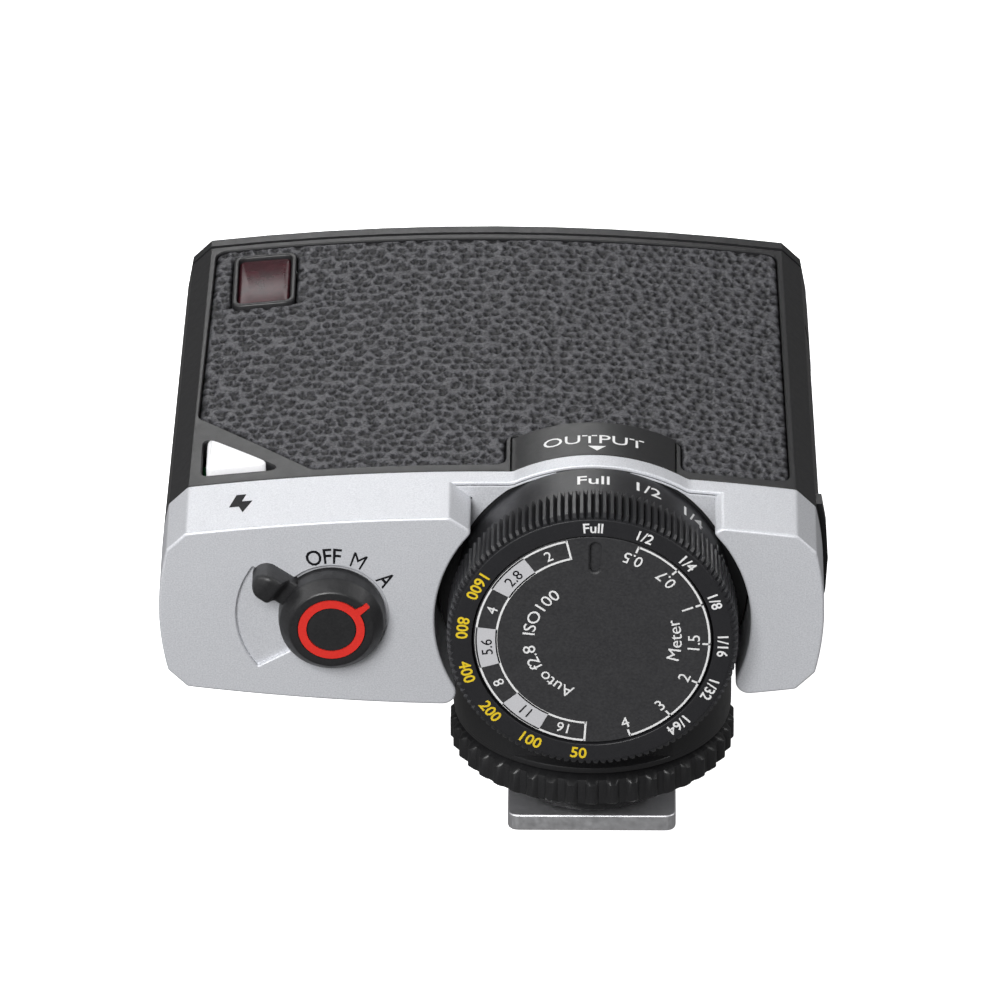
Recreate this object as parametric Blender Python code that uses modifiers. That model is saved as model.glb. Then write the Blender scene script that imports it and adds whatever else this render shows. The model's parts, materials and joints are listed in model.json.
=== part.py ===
"""Shoe-mount electronic flash with an output dial, as an assembly of separate pieces.

Run with blender --background --python part.py, or from Blender's text editor.

Frame: origin at the tip of the foot's centre contact, +Z up, +Y towards the flash window at the
front, +X to the right as seen from behind. Sizes below are in millimetres, and the meshes in metres.
"""

import math

import bmesh
import bpy
from mathutils import Vector

MM = 0.001

# Clearances
GAP = 0.3  # between two pieces that rest on each other, and round most moving pieces
TRIM_GAP = 0.12  # round a small inlay
OVER = 1.0  # how far a cutter runs past the face it cuts

# Case: the silver rear cover and the black front shell share one section
BODY_WIDTH = 72.0
BODY_RIGHT = 25.05  # right side of the case, measured from the axis of the dial and the foot
BODY_HEIGHT = 23.6
BODY_DEPTH = 66.0
COVER_DEPTH = 10.0
SPLIT_Y = -12.7  # where the cover meets the shell
BEZEL_DEPTH = 2.0
CROWN_RADIUS = 256.0  # the top and the underside are slightly domed
CHAMFER = 2.1
SIDE_BULGE = 0.9
FRONT_TAPER = 1.0
WALL = 2.0
EDGE_BREAK = 0.6
SMALLEST_LEG = 0.3
TOP_STEPS = 10
SIDE_STEPS = 4

# Foot, lock wheel and pedestal, stacked upwards from the contact's tip
CONTACT_PROUD = 0.5
PLATE_WIDTH = 18.6
PLATE_LENGTH = 18.0
PLATE_THICKNESS = 2.0
PLATE_CORNER = 1.3
NECK_WIDTH = 12.4
STEM_RADIUS = 8.4
STEM_FLANGE_RADIUS = 10.4
STEM_FLANGE_HEIGHT = 2.0
RAIL_GAP = 4.9  # from the foot plate to the lock wheel
WHEEL_HEIGHT = 3.7
WHEEL_RADIUS = 15.75
WHEEL_SCALLOP = 0.5
WHEEL_RIDGES = 42
WASHER_RADIUS = 12.3
WASHER_THICKNESS = 0.9
WASHER_PROUD = 0.4
PEDESTAL_HEIGHT = 12.8
PEDESTAL_RADIUS = 15.4
PEDESTAL_FLAT = 12.6  # from the foot's axis to the flat behind the dial
PEDESTAL_WALL = 2.0
LEDGE_HEIGHT = 0.7  # full round ledge at the pedestal's foot
SCREW_SHANK = 0.8
SCREW_HEAD = 1.7
SCREW_HEAD_HEIGHT = 1.2
CASE_SCREW_HEAD_HEIGHT = 0.8  # a flat head
CASE_SCREW_SINK = 1.2  # depth of the dish that takes the head
CASE_SCREW_LENGTH = 5.0
TONGUE_WIDTH = 4.0  # the shell's tongues, which the case screws run into
TONGUE_REACH = 4.0
TONGUE_THICKNESS = 3.0
FOOT_SCREW_X = 4.6
FOOT_SCREW_Y = 5.2
FOOT_SCREW_LENGTH = 6.5
PEDESTAL_SCREW_CIRCLE = 10.6
PEDESTAL_SCREW_LENGTH = 7.0
CONTACT_RADIUS = 1.2
CONTACT_COLLAR = 2.0
INSULATOR_RADIUS = 3.2
INSULATOR_HEIGHT = 9.0

# Output dial, about a horizontal axis above the foot. Heights here run towards the user from Y = 0
DIAL_DROP = 13.0  # dial axis below the top of the case
DIAL_FACE = 26.7
DIAL_FACE_RADIUS = 15.25
KNURL_RADIUS = 15.75
KNURL_DEPTH = 0.35
KNURL_TEETH = 40
KNURL_LENGTH = 5.2
BARREL_RADIUS = 14.9
DISC_RADIUS = 12.85
DISC_RECESS = 2.0
DISC_THICKNESS = 1.5
DISC_BOSS_RADIUS = 1.8
NAIL_GROOVE_IN = 8.4
NAIL_GROOVE_OUT = 12.1
NAIL_GROOVE_WIDTH = 1.15
NAIL_GROOVE_DEPTH = 0.7
HUB_RADIUS = 4.0
HUB_WALL = 1.7
NOTCH_RADIUS = 17.1  # the round notch in the rear cover that the dial sits in
NOTCH_FILLET = 1.5
NOTCH_CORNER_ANGLE = 40.7  # where the notch opens out towards the top
NOTCH_FLARE = 36.4  # slope of those two flanks
BAND_DEPTH = 2.2  # silver strip that runs on above the dial
BAND_THICKNESS = 0.5
BAND_SINK = 0.03  # keeps the strip's skin off the skin of the wall that it joins
ARCH_RISE = 15.1  # top of the arch over the dial, from the dial's axis
ARCH_RADIUS = 19.1
HOOD_HALF_WIDTH = 8.9
HOOD_LENGTH = 7.5
HOUSING_THICKNESS = 2.0
LINER_WALL = 0.6
ENCODER_RADIUS = 7.0

# Mode switch
MODE_FROM_LEFT = 18.75
MODE_BELOW_MIDDLE = 0.4
KNOB_RADIUS = 5.8
KNOB_HEIGHT = 3.4
KNOB_RECESS = 0.5
LEVER_REACH = 10.1
LEVER_WIDTH = 3.0
LEVER_ANGLE = 145.0
LEVER_THICKNESS = 2.1
SECTOR_START = 128.0
SECTOR_END = 222.0
POINTER_ANGLE = 37.0
POINTER_INNER = 2.7
POINTER_OUTER = 3.6
POINTER_REACH = 5.0
POINTER_WIDTH = 0.85
POINTER_THICKNESS = 0.5
MODE_SHAFT_RADIUS = 1.7
MODE_SWITCH_SIZE = 9.0

# Top: leatherette, slave window and test button
LEATHER_THICKNESS = 0.6
LEATHER_RECESS = 0.9
LEATHER_RIM = 0.65
LEATHER_CORNER = 1.6
LEATHER_FROM_SPLIT = 1.6
LEATHER_FROM_FRONT = 3.4
LEATHER_CUT_X = 12.8  # legs of the corner that is cut off beside the button
LEATHER_CUT_Y = 13.5
WINDOW_FROM_LEFT = 6.65
WINDOW_FROM_FRONT = 5.4
WINDOW_WIDTH = 7.0
WINDOW_LENGTH = 11.5
WINDOW_FRAME = 1.1
WINDOW_CORNER = 1.3
WINDOW_PROUD = 0.25
BUTTON_FROM_LEFT = 4.75
BUTTON_FROM_SPLIT = 2.5
BUTTON_WIDTH = 7.6
BUTTON_LENGTH = 7.2
BUTTON_PROUD = 0.7
BUTTON_TRAVEL = 0.6
BUTTON_GAP = 0.35
BUTTON_DEPTH = 2.6
BUTTON_STEM_RADIUS = 1.1
SWITCH_RADIUS = 1.2
SWITCH_HEIGHT = 2.0

# Battery door, on the right side, hinged along its lower edge
DOOR_HALF_HEIGHT = 6.8
DOOR_LENGTH = 39.6
DOOR_FROM_SPLIT = 1.8
DOOR_RIDGE_WIDTH = 2.2
DOOR_RIDGE_PROUD = 0.6
DOOR_SWING_RELIEF = 0.4  # more room below the door, which its lower edge swings through
HINGE_BELOW_DOOR = 1.2
HINGE_INSET = 1.0
KNUCKLE_RADIUS = 1.1
KNUCKLE_LENGTH = 5.0
WEB_REACH = 0.7  # from the pin's axis to the inner side of the web that carries a knuckle
HINGE_START = 8.0
PIN_RADIUS = 0.45
PIN_CLEARANCE = 0.15
PIN_END_WALL = 0.5  # the knuckles' closed ends, which hold the pin
CELL_RADIUS = 5.25
CELL_LENGTH = 44.5
CELL_GAP = 0.6
CELL_FROM_SPLIT = 15.5
CELL_FROM_RIGHT = 3.7
TRAY_WALL = 1.0
CELL_SPRING_LENGTH = 2.4

# Flash window and what is behind it
LENS_FROM_LEFT = 5.0
LENS_FROM_RIGHT = 14.0
LENS_HALF_HEIGHT = 7.6
LENS_THICKNESS = 3.2
LENS_RIB = 2.0
REFLECTOR_DEPTH = 9.0
REFLECTOR_WALL = 0.6
TUBE_RADIUS = 1.6
SENSOR_FROM_RIGHT = 7.0
SENSOR_RADIUS = 2.5

# Inside
BOARD_THICKNESS = 1.6
BOARD_FROM_SPLIT = 8.5
BOARD_SIDE_GAP = 2.0
BOARD_HALF_HEIGHT = 6.4
CAPACITOR_RADIUS = 6.3
CAPACITOR_LENGTH = 27.0
CAPACITOR_FROM_LEFT = 9.4

# Worked out from the values above
FOOT_Z = CONTACT_PROUD
PLATE_TOP = FOOT_Z + PLATE_THICKNESS
WHEEL_BOTTOM = PLATE_TOP + RAIL_GAP
WHEEL_TOP = WHEEL_BOTTOM + WHEEL_HEIGHT
PEDESTAL_BOTTOM = WHEEL_TOP + 2 * GAP
BODY_BOTTOM = PEDESTAL_BOTTOM + PEDESTAL_HEIGHT + GAP
BODY_TOP = BODY_BOTTOM + BODY_HEIGHT
BODY_MIDDLE = BODY_BOTTOM + BODY_HEIGHT / 2
BODY_LEFT = BODY_RIGHT - BODY_WIDTH
BODY_X = BODY_RIGHT - BODY_WIDTH / 2
REAR_Y = SPLIT_Y - COVER_DEPTH
FRONT_Y = REAR_Y + BODY_DEPTH
BEZEL_Y = FRONT_Y - BEZEL_DEPTH
DIAL_Z = BODY_TOP - DIAL_DROP
INNER_LEFT = BODY_LEFT + WALL
INNER_RIGHT = BODY_RIGHT - WALL
MODE_X = BODY_LEFT + MODE_FROM_LEFT
MODE_Z = BODY_MIDDLE - MODE_BELOW_MIDDLE
BAND_REAR = -SPLIT_Y + BAND_DEPTH
BOARD_REAR_Y = SPLIT_Y + BOARD_FROM_SPLIT
BOARD_FRONT_Y = BOARD_REAR_Y + BOARD_THICKNESS
PANEL = -REAR_Y

FACING = {
    "up": (0, 0, 0),
    "back": (math.pi / 2, 0, 0),
    "front": (-math.pi / 2, 0, 0),
    "right": (0, math.pi / 2, 0),
}


# ---------------------------------------------------------------- scene and materials


def clear_scene():
    for obj in list(bpy.data.objects):
        bpy.data.objects.remove(obj, do_unlink=True)


def new_collection(name):
    made = bpy.data.collections.new(name)
    bpy.context.scene.collection.children.link(made)
    return made


def principled(name, colour, roughness, metallic=0.0, transmission=0.0):
    material = bpy.data.materials.new(name)
    material.use_nodes = True
    shader = material.node_tree.nodes["Principled BSDF"]
    shader.inputs["Base Color"].default_value = (*colour, 1.0)
    shader.inputs["Roughness"].default_value = roughness
    shader.inputs["Metallic"].default_value = metallic
    shader.inputs["Transmission Weight"].default_value = transmission
    return material


clear_scene()
PARTS = new_collection("shoe_flash")
CUTTERS = new_collection("cutters")

BLACK_PLASTIC = principled("black_plastic", (0.018, 0.018, 0.020), 0.45)
SILVER_PAINT = principled("silver_paint", (0.62, 0.63, 0.65), 0.38, metallic=0.6)
LEATHERETTE = principled("leatherette", (0.030, 0.030, 0.033), 0.55)
GREY_PLASTIC = principled("grey_plastic", (0.09, 0.09, 0.10), 0.5)
WHITE_PLASTIC = principled("white_plastic", (0.85, 0.86, 0.88), 0.3)
RED_PAINT = principled("red_paint", (0.70, 0.03, 0.02), 0.4)
RED_WINDOW = principled("red_window", (0.25, 0.01, 0.02), 0.08, transmission=0.7)
CLEAR_PLASTIC = principled("clear_plastic", (0.90, 0.93, 0.95), 0.06, transmission=0.9)
STEEL = principled("steel", (0.55, 0.55, 0.56), 0.3, metallic=1.0)
BRASS = principled("brass", (0.80, 0.60, 0.25), 0.25, metallic=1.0)
CIRCUIT_BOARD = principled("circuit_board", (0.02, 0.16, 0.06), 0.5)
CELL_SLEEVE = principled("cell_sleeve", (0.08, 0.10, 0.14), 0.35)
COPPER = principled("copper", (0.65, 0.28, 0.14), 0.35, metallic=1.0)


# ---------------------------------------------------------------- shape helpers


def add_object(name, mesh, material):
    obj = bpy.data.objects.new(name, mesh)
    PARTS.objects.link(obj)
    if material:
        mesh.materials.append(material)
    mesh.shade_smooth()
    mesh.set_sharp_from_angle(angle=math.radians(30))
    return obj


def from_bmesh(name, bm, material):
    """Makes an object from a bmesh that is in millimetres."""
    bmesh.ops.recalc_face_normals(bm, faces=bm.faces)
    bmesh.ops.scale(bm, vec=(MM, MM, MM), verts=bm.verts)
    mesh = bpy.data.meshes.new(name)
    bm.to_mesh(mesh)
    bm.free()
    return add_object(name, mesh, material)


def block(name, material, low, high):
    bm = bmesh.new()
    bmesh.ops.create_cube(bm, size=1.0)
    low, high = Vector(low), Vector(high)
    bmesh.ops.scale(bm, vec=high - low, verts=bm.verts)
    bmesh.ops.translate(bm, vec=(low + high) / 2, verts=bm.verts)
    return from_bmesh(name, bm, material)


def rod(name, material, radius, low, high, segments=32):
    """A cylinder along local Z, from height low to height high."""
    bm = bmesh.new()
    bmesh.ops.create_cone(
        bm, cap_ends=True, segments=segments, radius1=radius, radius2=radius, depth=high - low
    )
    bmesh.ops.translate(bm, vec=(0, 0, (low + high) / 2), verts=bm.verts)
    return from_bmesh(name, bm, material)


def signed_area(points):
    pairs = zip(points, points[1:] + points[:1])
    return sum(a[0] * b[1] - b[0] * a[1] for a, b in pairs) / 2


def turned(name, material, profile, steps=64):
    """A profile of (radius, height) points turned about local Z.

    It closes on itself where it has no point on the axis, and runs from axis to axis where it has two.
    """
    if signed_area(profile) > 0:
        profile = profile[::-1]
    on_axis = [i for i, point in enumerate(profile) if point[0] == 0]
    if on_axis:
        while not (profile[0][0] == 0 and profile[-1][0] == 0):
            profile = profile[1:] + profile[:1]
    edges = [(i, i + 1) for i in range(len(profile) - 1)]
    if not on_axis:
        edges.append((len(profile) - 1, 0))
    mesh = bpy.data.meshes.new(name)
    mesh.from_pydata([(r * MM, 0, z * MM) for r, z in profile], edges, [])
    obj = add_object(name, mesh, material)
    screw = obj.modifiers.new("turn", "SCREW")
    screw.axis = "Z"
    screw.steps = steps
    screw.render_steps = steps
    screw.use_merge_vertices = True
    screw.merge_threshold = 1e-6
    screw.use_smooth_shade = True
    return obj


def evaluated_mesh(obj):
    bpy.context.view_layer.update()
    graph = bpy.context.evaluated_depsgraph_get()
    return bpy.data.meshes.new_from_object(obj.evaluated_get(graph))


def prism(name, material, outlines, low, high):
    """A flat outline in local X and Y, with the holes that further outlines give it, low to high."""
    curve = bpy.data.curves.new(name, "CURVE")
    curve.dimensions = "2D"
    curve.fill_mode = "BOTH"
    curve.extrude = (high - low) / 2 * MM
    for outline in outlines:
        spline = curve.splines.new("POLY")
        spline.points.add(len(outline) - 1)
        for point, (x, y) in zip(spline.points, outline):
            point.co = (x * MM, y * MM, 0, 1)
        spline.use_cyclic_u = True
    guide = bpy.data.objects.new(name + "_outline", curve)
    PARTS.objects.link(guide)
    mesh = evaluated_mesh(guide)
    bpy.data.objects.remove(guide, do_unlink=True)
    bm = bmesh.new()
    bm.from_mesh(mesh)
    bmesh.ops.remove_doubles(bm, verts=bm.verts, dist=1e-7)
    bmesh.ops.scale(bm, vec=(1 / MM, 1 / MM, 1 / MM), verts=bm.verts)
    bmesh.ops.translate(bm, vec=(0, 0, (low + high) / 2), verts=bm.verts)
    return from_bmesh(name, bm, material)


def loft(name, material, rings):
    """Skins a row of outlines that have the same number of points, and caps both ends."""
    bm = bmesh.new()
    loops = [[bm.verts.new(point) for point in ring] for ring in rings]
    for near, far in zip(loops, loops[1:]):
        for i in range(len(near)):
            j = (i + 1) % len(near)
            bm.faces.new((near[i], near[j], far[j], far[i]))
    bm.faces.new(loops[0])
    bm.faces.new(loops[-1])
    return from_bmesh(name, bm, material)


def tube_along(name, material, points, radius, resolution=2):
    """A wire of round section through the points, with filled caps."""
    curve = bpy.data.curves.new(name, "CURVE")
    curve.dimensions = "3D"
    curve.bevel_depth = radius * MM
    curve.bevel_resolution = resolution
    curve.use_fill_caps = True
    spline = curve.splines.new("POLY")
    spline.points.add(len(points) - 1)
    for point, co in zip(spline.points, points):
        point.co = (co[0] * MM, co[1] * MM, co[2] * MM, 1)
    obj = bpy.data.objects.new(name, curve)
    PARTS.objects.link(obj)
    curve.materials.append(material)
    return obj


def coil(name, material, radius, wire, low, high, turns):
    """A compression spring about local Z whose wire stays between low and high."""
    steps = 8
    count = int(turns * steps)
    rise = (high - low - 2 * wire) / count
    angle = 2 * math.pi / steps
    points = [
        (radius * math.cos(i * angle), radius * math.sin(i * angle), low + wire + i * rise)
        for i in range(count + 1)
    ]
    return tube_along(name, material, points, wire, 1)


def as_cutter(obj):
    PARTS.objects.unlink(obj)
    CUTTERS.objects.link(obj)
    obj.hide_render = True
    obj.display_type = "WIRE"


def combine(target, others, operation):
    for other in others:
        as_cutter(other)
        modifier = target.modifiers.new(other.name, "BOOLEAN")
        modifier.operation = operation
        modifier.object = other


def cut(target, *cutters):
    combine(target, cutters, "DIFFERENCE")


def join(target, *additions):
    combine(target, additions, "UNION")


def keep_inside(target, *limits):
    combine(target, limits, "INTERSECT")


def axis_empty(name, at, facing="up"):
    """An empty on a joint's axis. Its pieces are modelled in its own frame."""
    empty = bpy.data.objects.new(name, None)
    empty.empty_display_size = 5 * MM
    empty.location = Vector(at) * MM
    empty.rotation_euler = FACING[facing]
    PARTS.objects.link(empty)
    return empty


def attach(empty, *objects):
    for obj in objects:
        obj.parent = empty


def attach_in_place(empty, *objects):
    """Parents pieces that were modelled in the frame of the whole part to an unturned empty."""
    for obj in objects:
        obj.parent = empty
        obj.location = obj.location - empty.location


def place(obj, at=(0, 0, 0), facing="up"):
    obj.location = Vector(at) * MM
    obj.rotation_euler = FACING[facing]
    return obj


# ---------------------------------------------------------------- outlines


def arc(radius, start, end, steps, centre=(0.0, 0.0)):
    """Points on an arc between two angles in degrees."""
    angles = [math.radians(start + (end - start) * i / steps) for i in range(steps + 1)]
    return [(centre[0] + radius * math.cos(a), centre[1] + radius * math.sin(a)) for a in angles]


def circle(radius, steps=48, centre=(0.0, 0.0)):
    return arc(radius, 0, 360 - 360 / steps, steps - 1, centre)


def rounded(points, radius, steps=4):
    """The polygon with every corner rounded to the radius."""
    made = []
    for i, corner in enumerate(points):
        here = Vector(corner)
        back = (Vector(points[i - 1]) - here).normalized()
        on = (Vector(points[(i + 1) % len(points)]) - here).normalized()
        half = back.angle(on) / 2
        reach = radius / math.tan(half)
        centre = here + (back + on).normalized() * radius / math.sin(half)
        first = here + back * reach - centre
        last = here + on * reach - centre
        sweep = first.angle_signed(last)
        for step in range(steps + 1):
            turn = -sweep * step / steps
            x = first.x * math.cos(turn) - first.y * math.sin(turn)
            y = first.x * math.sin(turn) + first.y * math.cos(turn)
            made.append((centre.x + x, centre.y + y))
    return made


def rectangle(low_x, low_y, high_x, high_y):
    return [(low_x, low_y), (high_x, low_y), (high_x, high_y), (low_x, high_y)]


def shrunk(points, distance):
    """The polygon with every side moved inwards, or outwards for a negative distance."""
    inwards = 1 if signed_area(points) > 0 else -1
    made = []
    for i, corner in enumerate(points):
        here = Vector(corner)
        before = (here - Vector(points[i - 1])).normalized()
        after = (Vector(points[(i + 1) % len(points)]) - here).normalized()
        normal_before = Vector((-before.y, before.x)) * inwards
        normal_after = Vector((-after.y, after.x)) * inwards
        middle = (normal_before + normal_after).normalized()
        moved = here + middle * distance / middle.dot(normal_before)
        made.append((moved.x, moved.y))
    return made


# ---------------------------------------------------------------- the case's section


def crown(x):
    return (x - BODY_X) ** 2 / (2 * CROWN_RADIUS)


def top_z(x):
    return BODY_TOP - crown(x)


def bottom_z(x):
    return BODY_BOTTOM + crown(x)


def half_width(y):
    return BODY_WIDTH / 2 - FRONT_TAPER * max(0.0, (y - SPLIT_Y) / (FRONT_Y - SPLIT_Y))


def flat_reach(y):
    """From the case's middle to where the top meets the chamfer."""
    return half_width(y) - SIDE_BULGE - CHAMFER


def section(y, inset=0.0):
    """The case's outline at one depth, moved inwards by inset."""
    leg = max(CHAMFER - inset * (2 - math.sqrt(2)), SMALLEST_LEG)
    half = half_width(y) - inset
    reach = half - SIDE_BULGE - leg
    across = [BODY_X - reach + 2 * reach * i / TOP_STEPS for i in range(TOP_STEPS + 1)]
    top = [(x, top_z(x) - inset) for x in across]
    side_high = top[-1][1] - leg
    side_half = side_high - BODY_MIDDLE
    heights = [side_high - 2 * side_half * i / SIDE_STEPS for i in range(SIDE_STEPS + 1)]
    bulges = [half - SIDE_BULGE * ((z - BODY_MIDDLE) / side_half) ** 2 for z in heights]
    right = [(BODY_X + out, z) for out, z in zip(bulges, heights)]
    bottom = [(x, bottom_z(x) + inset) for x in reversed(across)]
    left = [(BODY_X - out, z) for out, z in zip(reversed(bulges), reversed(heights))]
    return [(x, y, z) for x, z in top + right + bottom + left]


def case_solid(name, material, stations):
    """The case's section through (depth, inset) stations."""
    return loft(name, material, [section(y, inset) for y, inset in stations])


def domed_slab(name, material, outlines, low, high):
    """A plate that follows the case's domed top, from low to high above that surface."""
    slab = prism(name, material, outlines, BODY_TOP + low, BODY_TOP + high)
    bm = bmesh.new()
    bm.from_mesh(slab.data)
    bmesh.ops.dissolve_limit(bm, angle_limit=0.001, verts=bm.verts, edges=bm.edges)
    reach = flat_reach(SPLIT_Y)
    for i in range(1, TOP_STEPS):
        x = BODY_X - reach + 2 * reach * i / TOP_STEPS
        geometry = bm.verts[:] + bm.edges[:] + bm.faces[:]
        bmesh.ops.bisect_plane(bm, geom=geometry, plane_co=(x * MM, 0, 0), plane_no=(1, 0, 0))
    for vert in bm.verts:
        vert.co.z -= crown(vert.co.x / MM) * MM
    bm.to_mesh(slab.data)
    bm.free()
    return slab


def screw(name, at, length, facing="up", head_height=SCREW_HEAD_HEIGHT):
    """A pan-head screw whose head starts at the point, with its shank running the other way."""
    profile = [
        (0, head_height),
        (SCREW_HEAD, head_height),
        (SCREW_HEAD, 0),
        (SCREW_SHANK, 0),
        (SCREW_SHANK, -length),
        (0, -length),
    ]
    return place(turned(name, STEEL, profile, steps=12), at, facing)


# ---------------------------------------------------------------- case


def notch_outline(radius):
    """The round notch for the dial, seen from behind, with the dial's axis at its centre.

    It opens out at the top between two flanks, and its lower corners are rounded into the underside.
    """
    corner = math.radians(NOTCH_CORNER_ANGLE)
    flank = math.radians(NOTCH_FLARE)
    corner_x, corner_y = radius * math.cos(corner), radius * math.sin(corner)
    top = BODY_TOP - DIAL_Z + 6
    flare_x = corner_x + (top - corner_y) / math.tan(flank)
    sides = []
    for side in (1, -1):
        low = bottom_z(side * NOTCH_RADIUS) - DIAL_Z
        centre_y = low + NOTCH_FILLET
        centre_x = math.sqrt((radius + NOTCH_FILLET) ** 2 - centre_y**2)
        tangent = math.degrees(math.atan2(centre_y, centre_x))
        fillet = arc(NOTCH_FILLET, 180 + tangent, 270, 4, (centre_x, centre_y))
        wall = arc(radius, NOTCH_CORNER_ANGLE, tangent, 20)
        points = [(flare_x, top)] + wall + fillet[1:] + [(centre_x, low - 10)]
        sides.append([(side * x, y) for x, y in points])
    return sides[0] + sides[1][::-1]


def band_outline(thickness):
    """The strip over the dial: it follows the case's top and arches up over the dial."""
    reach = NOTCH_RADIUS + WALL / 2
    steps = 28
    across = [-reach + 2 * reach * i / steps for i in range(steps + 1)]
    outer = [(x, roof(x) - BAND_SINK) for x in across]
    inner = [(x, roof(x) - thickness) for x in reversed(across)]
    return outer + inner


def roof(x):
    """Height over the dial's axis of the case's top, or of the arch where that is higher."""
    flat = top_z(x) - DIAL_Z
    if abs(x) >= ARCH_RADIUS:
        return flat
    return max(flat, ARCH_RISE - ARCH_RADIUS + math.sqrt(ARCH_RADIUS**2 - x**2))


def make_rear_cover():
    cover = case_solid(
        "rear_cover",
        SILVER_PAINT,
        [(REAR_Y, EDGE_BREAK), (REAR_Y + EDGE_BREAK, 0), (SPLIT_Y, 0)],
    )
    hollow = case_solid("cover_hollow", None, [(REAR_Y + WALL, WALL), (SPLIT_Y + OVER, WALL)])
    keep = notch_outline(NOTCH_RADIUS + WALL)
    kept = prism("notch_wall", None, [keep], -SPLIT_Y - 2 * OVER, PANEL + OVER)
    notch = prism("notch", None, [notch_outline(NOTCH_RADIUS)], -SPLIT_Y - OVER, PANEL + OVER)
    strip = prism("band", None, [band_outline(BAND_THICKNESS)], -SPLIT_Y, BAND_REAR)
    attach(DIAL_AXIS, kept, notch, strip)
    cut(hollow, kept)
    cut(cover, hollow, notch)
    join(cover, strip)
    recess = prism("mode_recess", None, [mode_recess_outline()], PANEL - KNOB_RECESS, PANEL + OVER)
    hole = rod("mode_hole", None, MODE_SHAFT_RADIUS + GAP, PANEL - WALL - OVER, PANEL + OVER)
    attach(MODE_AXIS, recess, hole)
    cut(cover, recess, hole)
    for i, (x, y) in enumerate(case_screw_places(), 1):
        sink = rod(f"cover_screw_hole_{i}", None, SCREW_SHANK + GAP, BODY_BOTTOM - OVER, BODY_MIDDLE, 12)
        cut(cover, place(sink, (x, y, 0)))
        seat = bottom_z(x) + CASE_SCREW_SINK
        dish = rod(f"cover_screw_dish_{i}", None, SCREW_HEAD + GAP, BODY_BOTTOM - 4, seat, 12)
        cut(cover, place(dish, (x, y, 0)))
    return cover


def mode_recess_outline():
    """A round recess under the mode knob with a sector beside it for the lever."""
    under = KNOB_RADIUS + GAP
    swept = LEVER_REACH + GAP
    sector = arc(swept, SECTOR_START, SECTOR_END, 24)
    return sector + arc(under, SECTOR_END, SECTOR_START + 360, 32)


def case_screw_places():
    y = (REAR_Y + SPLIT_Y) / 2 + 1
    return [(INNER_LEFT + 12.2, y), (-NOTCH_RADIUS - WALL - 3.6, y)]


def leather_outline():
    """The recess for the leatherette, seen from above: a corner is cut off, and it clears the hood."""
    near = SPLIT_Y + LEATHER_FROM_SPLIT
    far = FRONT_Y - LEATHER_FROM_FRONT
    near_reach = flat_reach(near) - LEATHER_RIM
    far_reach = flat_reach(far) - LEATHER_RIM
    side = HOOD_HALF_WIDTH + 2 * GAP
    hood_front = SPLIT_Y + HOOD_LENGTH + 2 * GAP
    left = BODY_X - near_reach
    return [
        (BODY_X + near_reach, near),
        (BODY_X + far_reach, far),
        (BODY_X - far_reach, far),
        (left, near + LEATHER_CUT_Y),
        (left + LEATHER_CUT_X, near),
        (-side, near),
        (-side, hood_front),
        (side, hood_front),
        (side, near),
    ]


def window_outline():
    left = BODY_LEFT + WINDOW_FROM_LEFT
    far = FRONT_Y - WINDOW_FROM_FRONT
    return rectangle(left, far - WINDOW_LENGTH, left + WINDOW_WIDTH, far)


def button_outline():
    left = BODY_LEFT + BUTTON_FROM_LEFT
    near = SPLIT_Y + BUTTON_FROM_SPLIT
    return [(left, near), (left + BUTTON_WIDTH, near), (left, near + BUTTON_LENGTH)]


def button_stem_place():
    """The centre of the circle that touches the button's two short sides and its long one."""
    long_side = math.hypot(BUTTON_WIDTH, BUTTON_LENGTH)
    reach = (BUTTON_WIDTH + BUTTON_LENGTH - long_side) / 2
    left, near = button_outline()[0]
    return left + reach, near + reach


def hood_outline(inset=0.0):
    """The arch's end view, from the inside of the case's top wall upwards."""
    half = HOOD_HALF_WIDTH - inset
    steps = 12
    across = [half - 2 * half * i / steps for i in range(steps + 1)]
    low = BODY_TOP - DIAL_Z - WALL - crown(HOOD_HALF_WIDTH)
    return [(x, roof(x)) for x in across] + [(-half, low), (half, low)]


def hinge_rod(name, radius, start, end):
    """A cylinder on the door's hinge axis, between two distances along it."""
    return on_hinge(rod(name, None, radius, start, end, 20))


def on_hinge(obj):
    """Places a piece whose local Z is the door's hinge axis and whose local X points out of the case."""
    obj.rotation_euler = HINGE_TURN
    obj.location = HINGE_POINT * MM
    return obj


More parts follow.
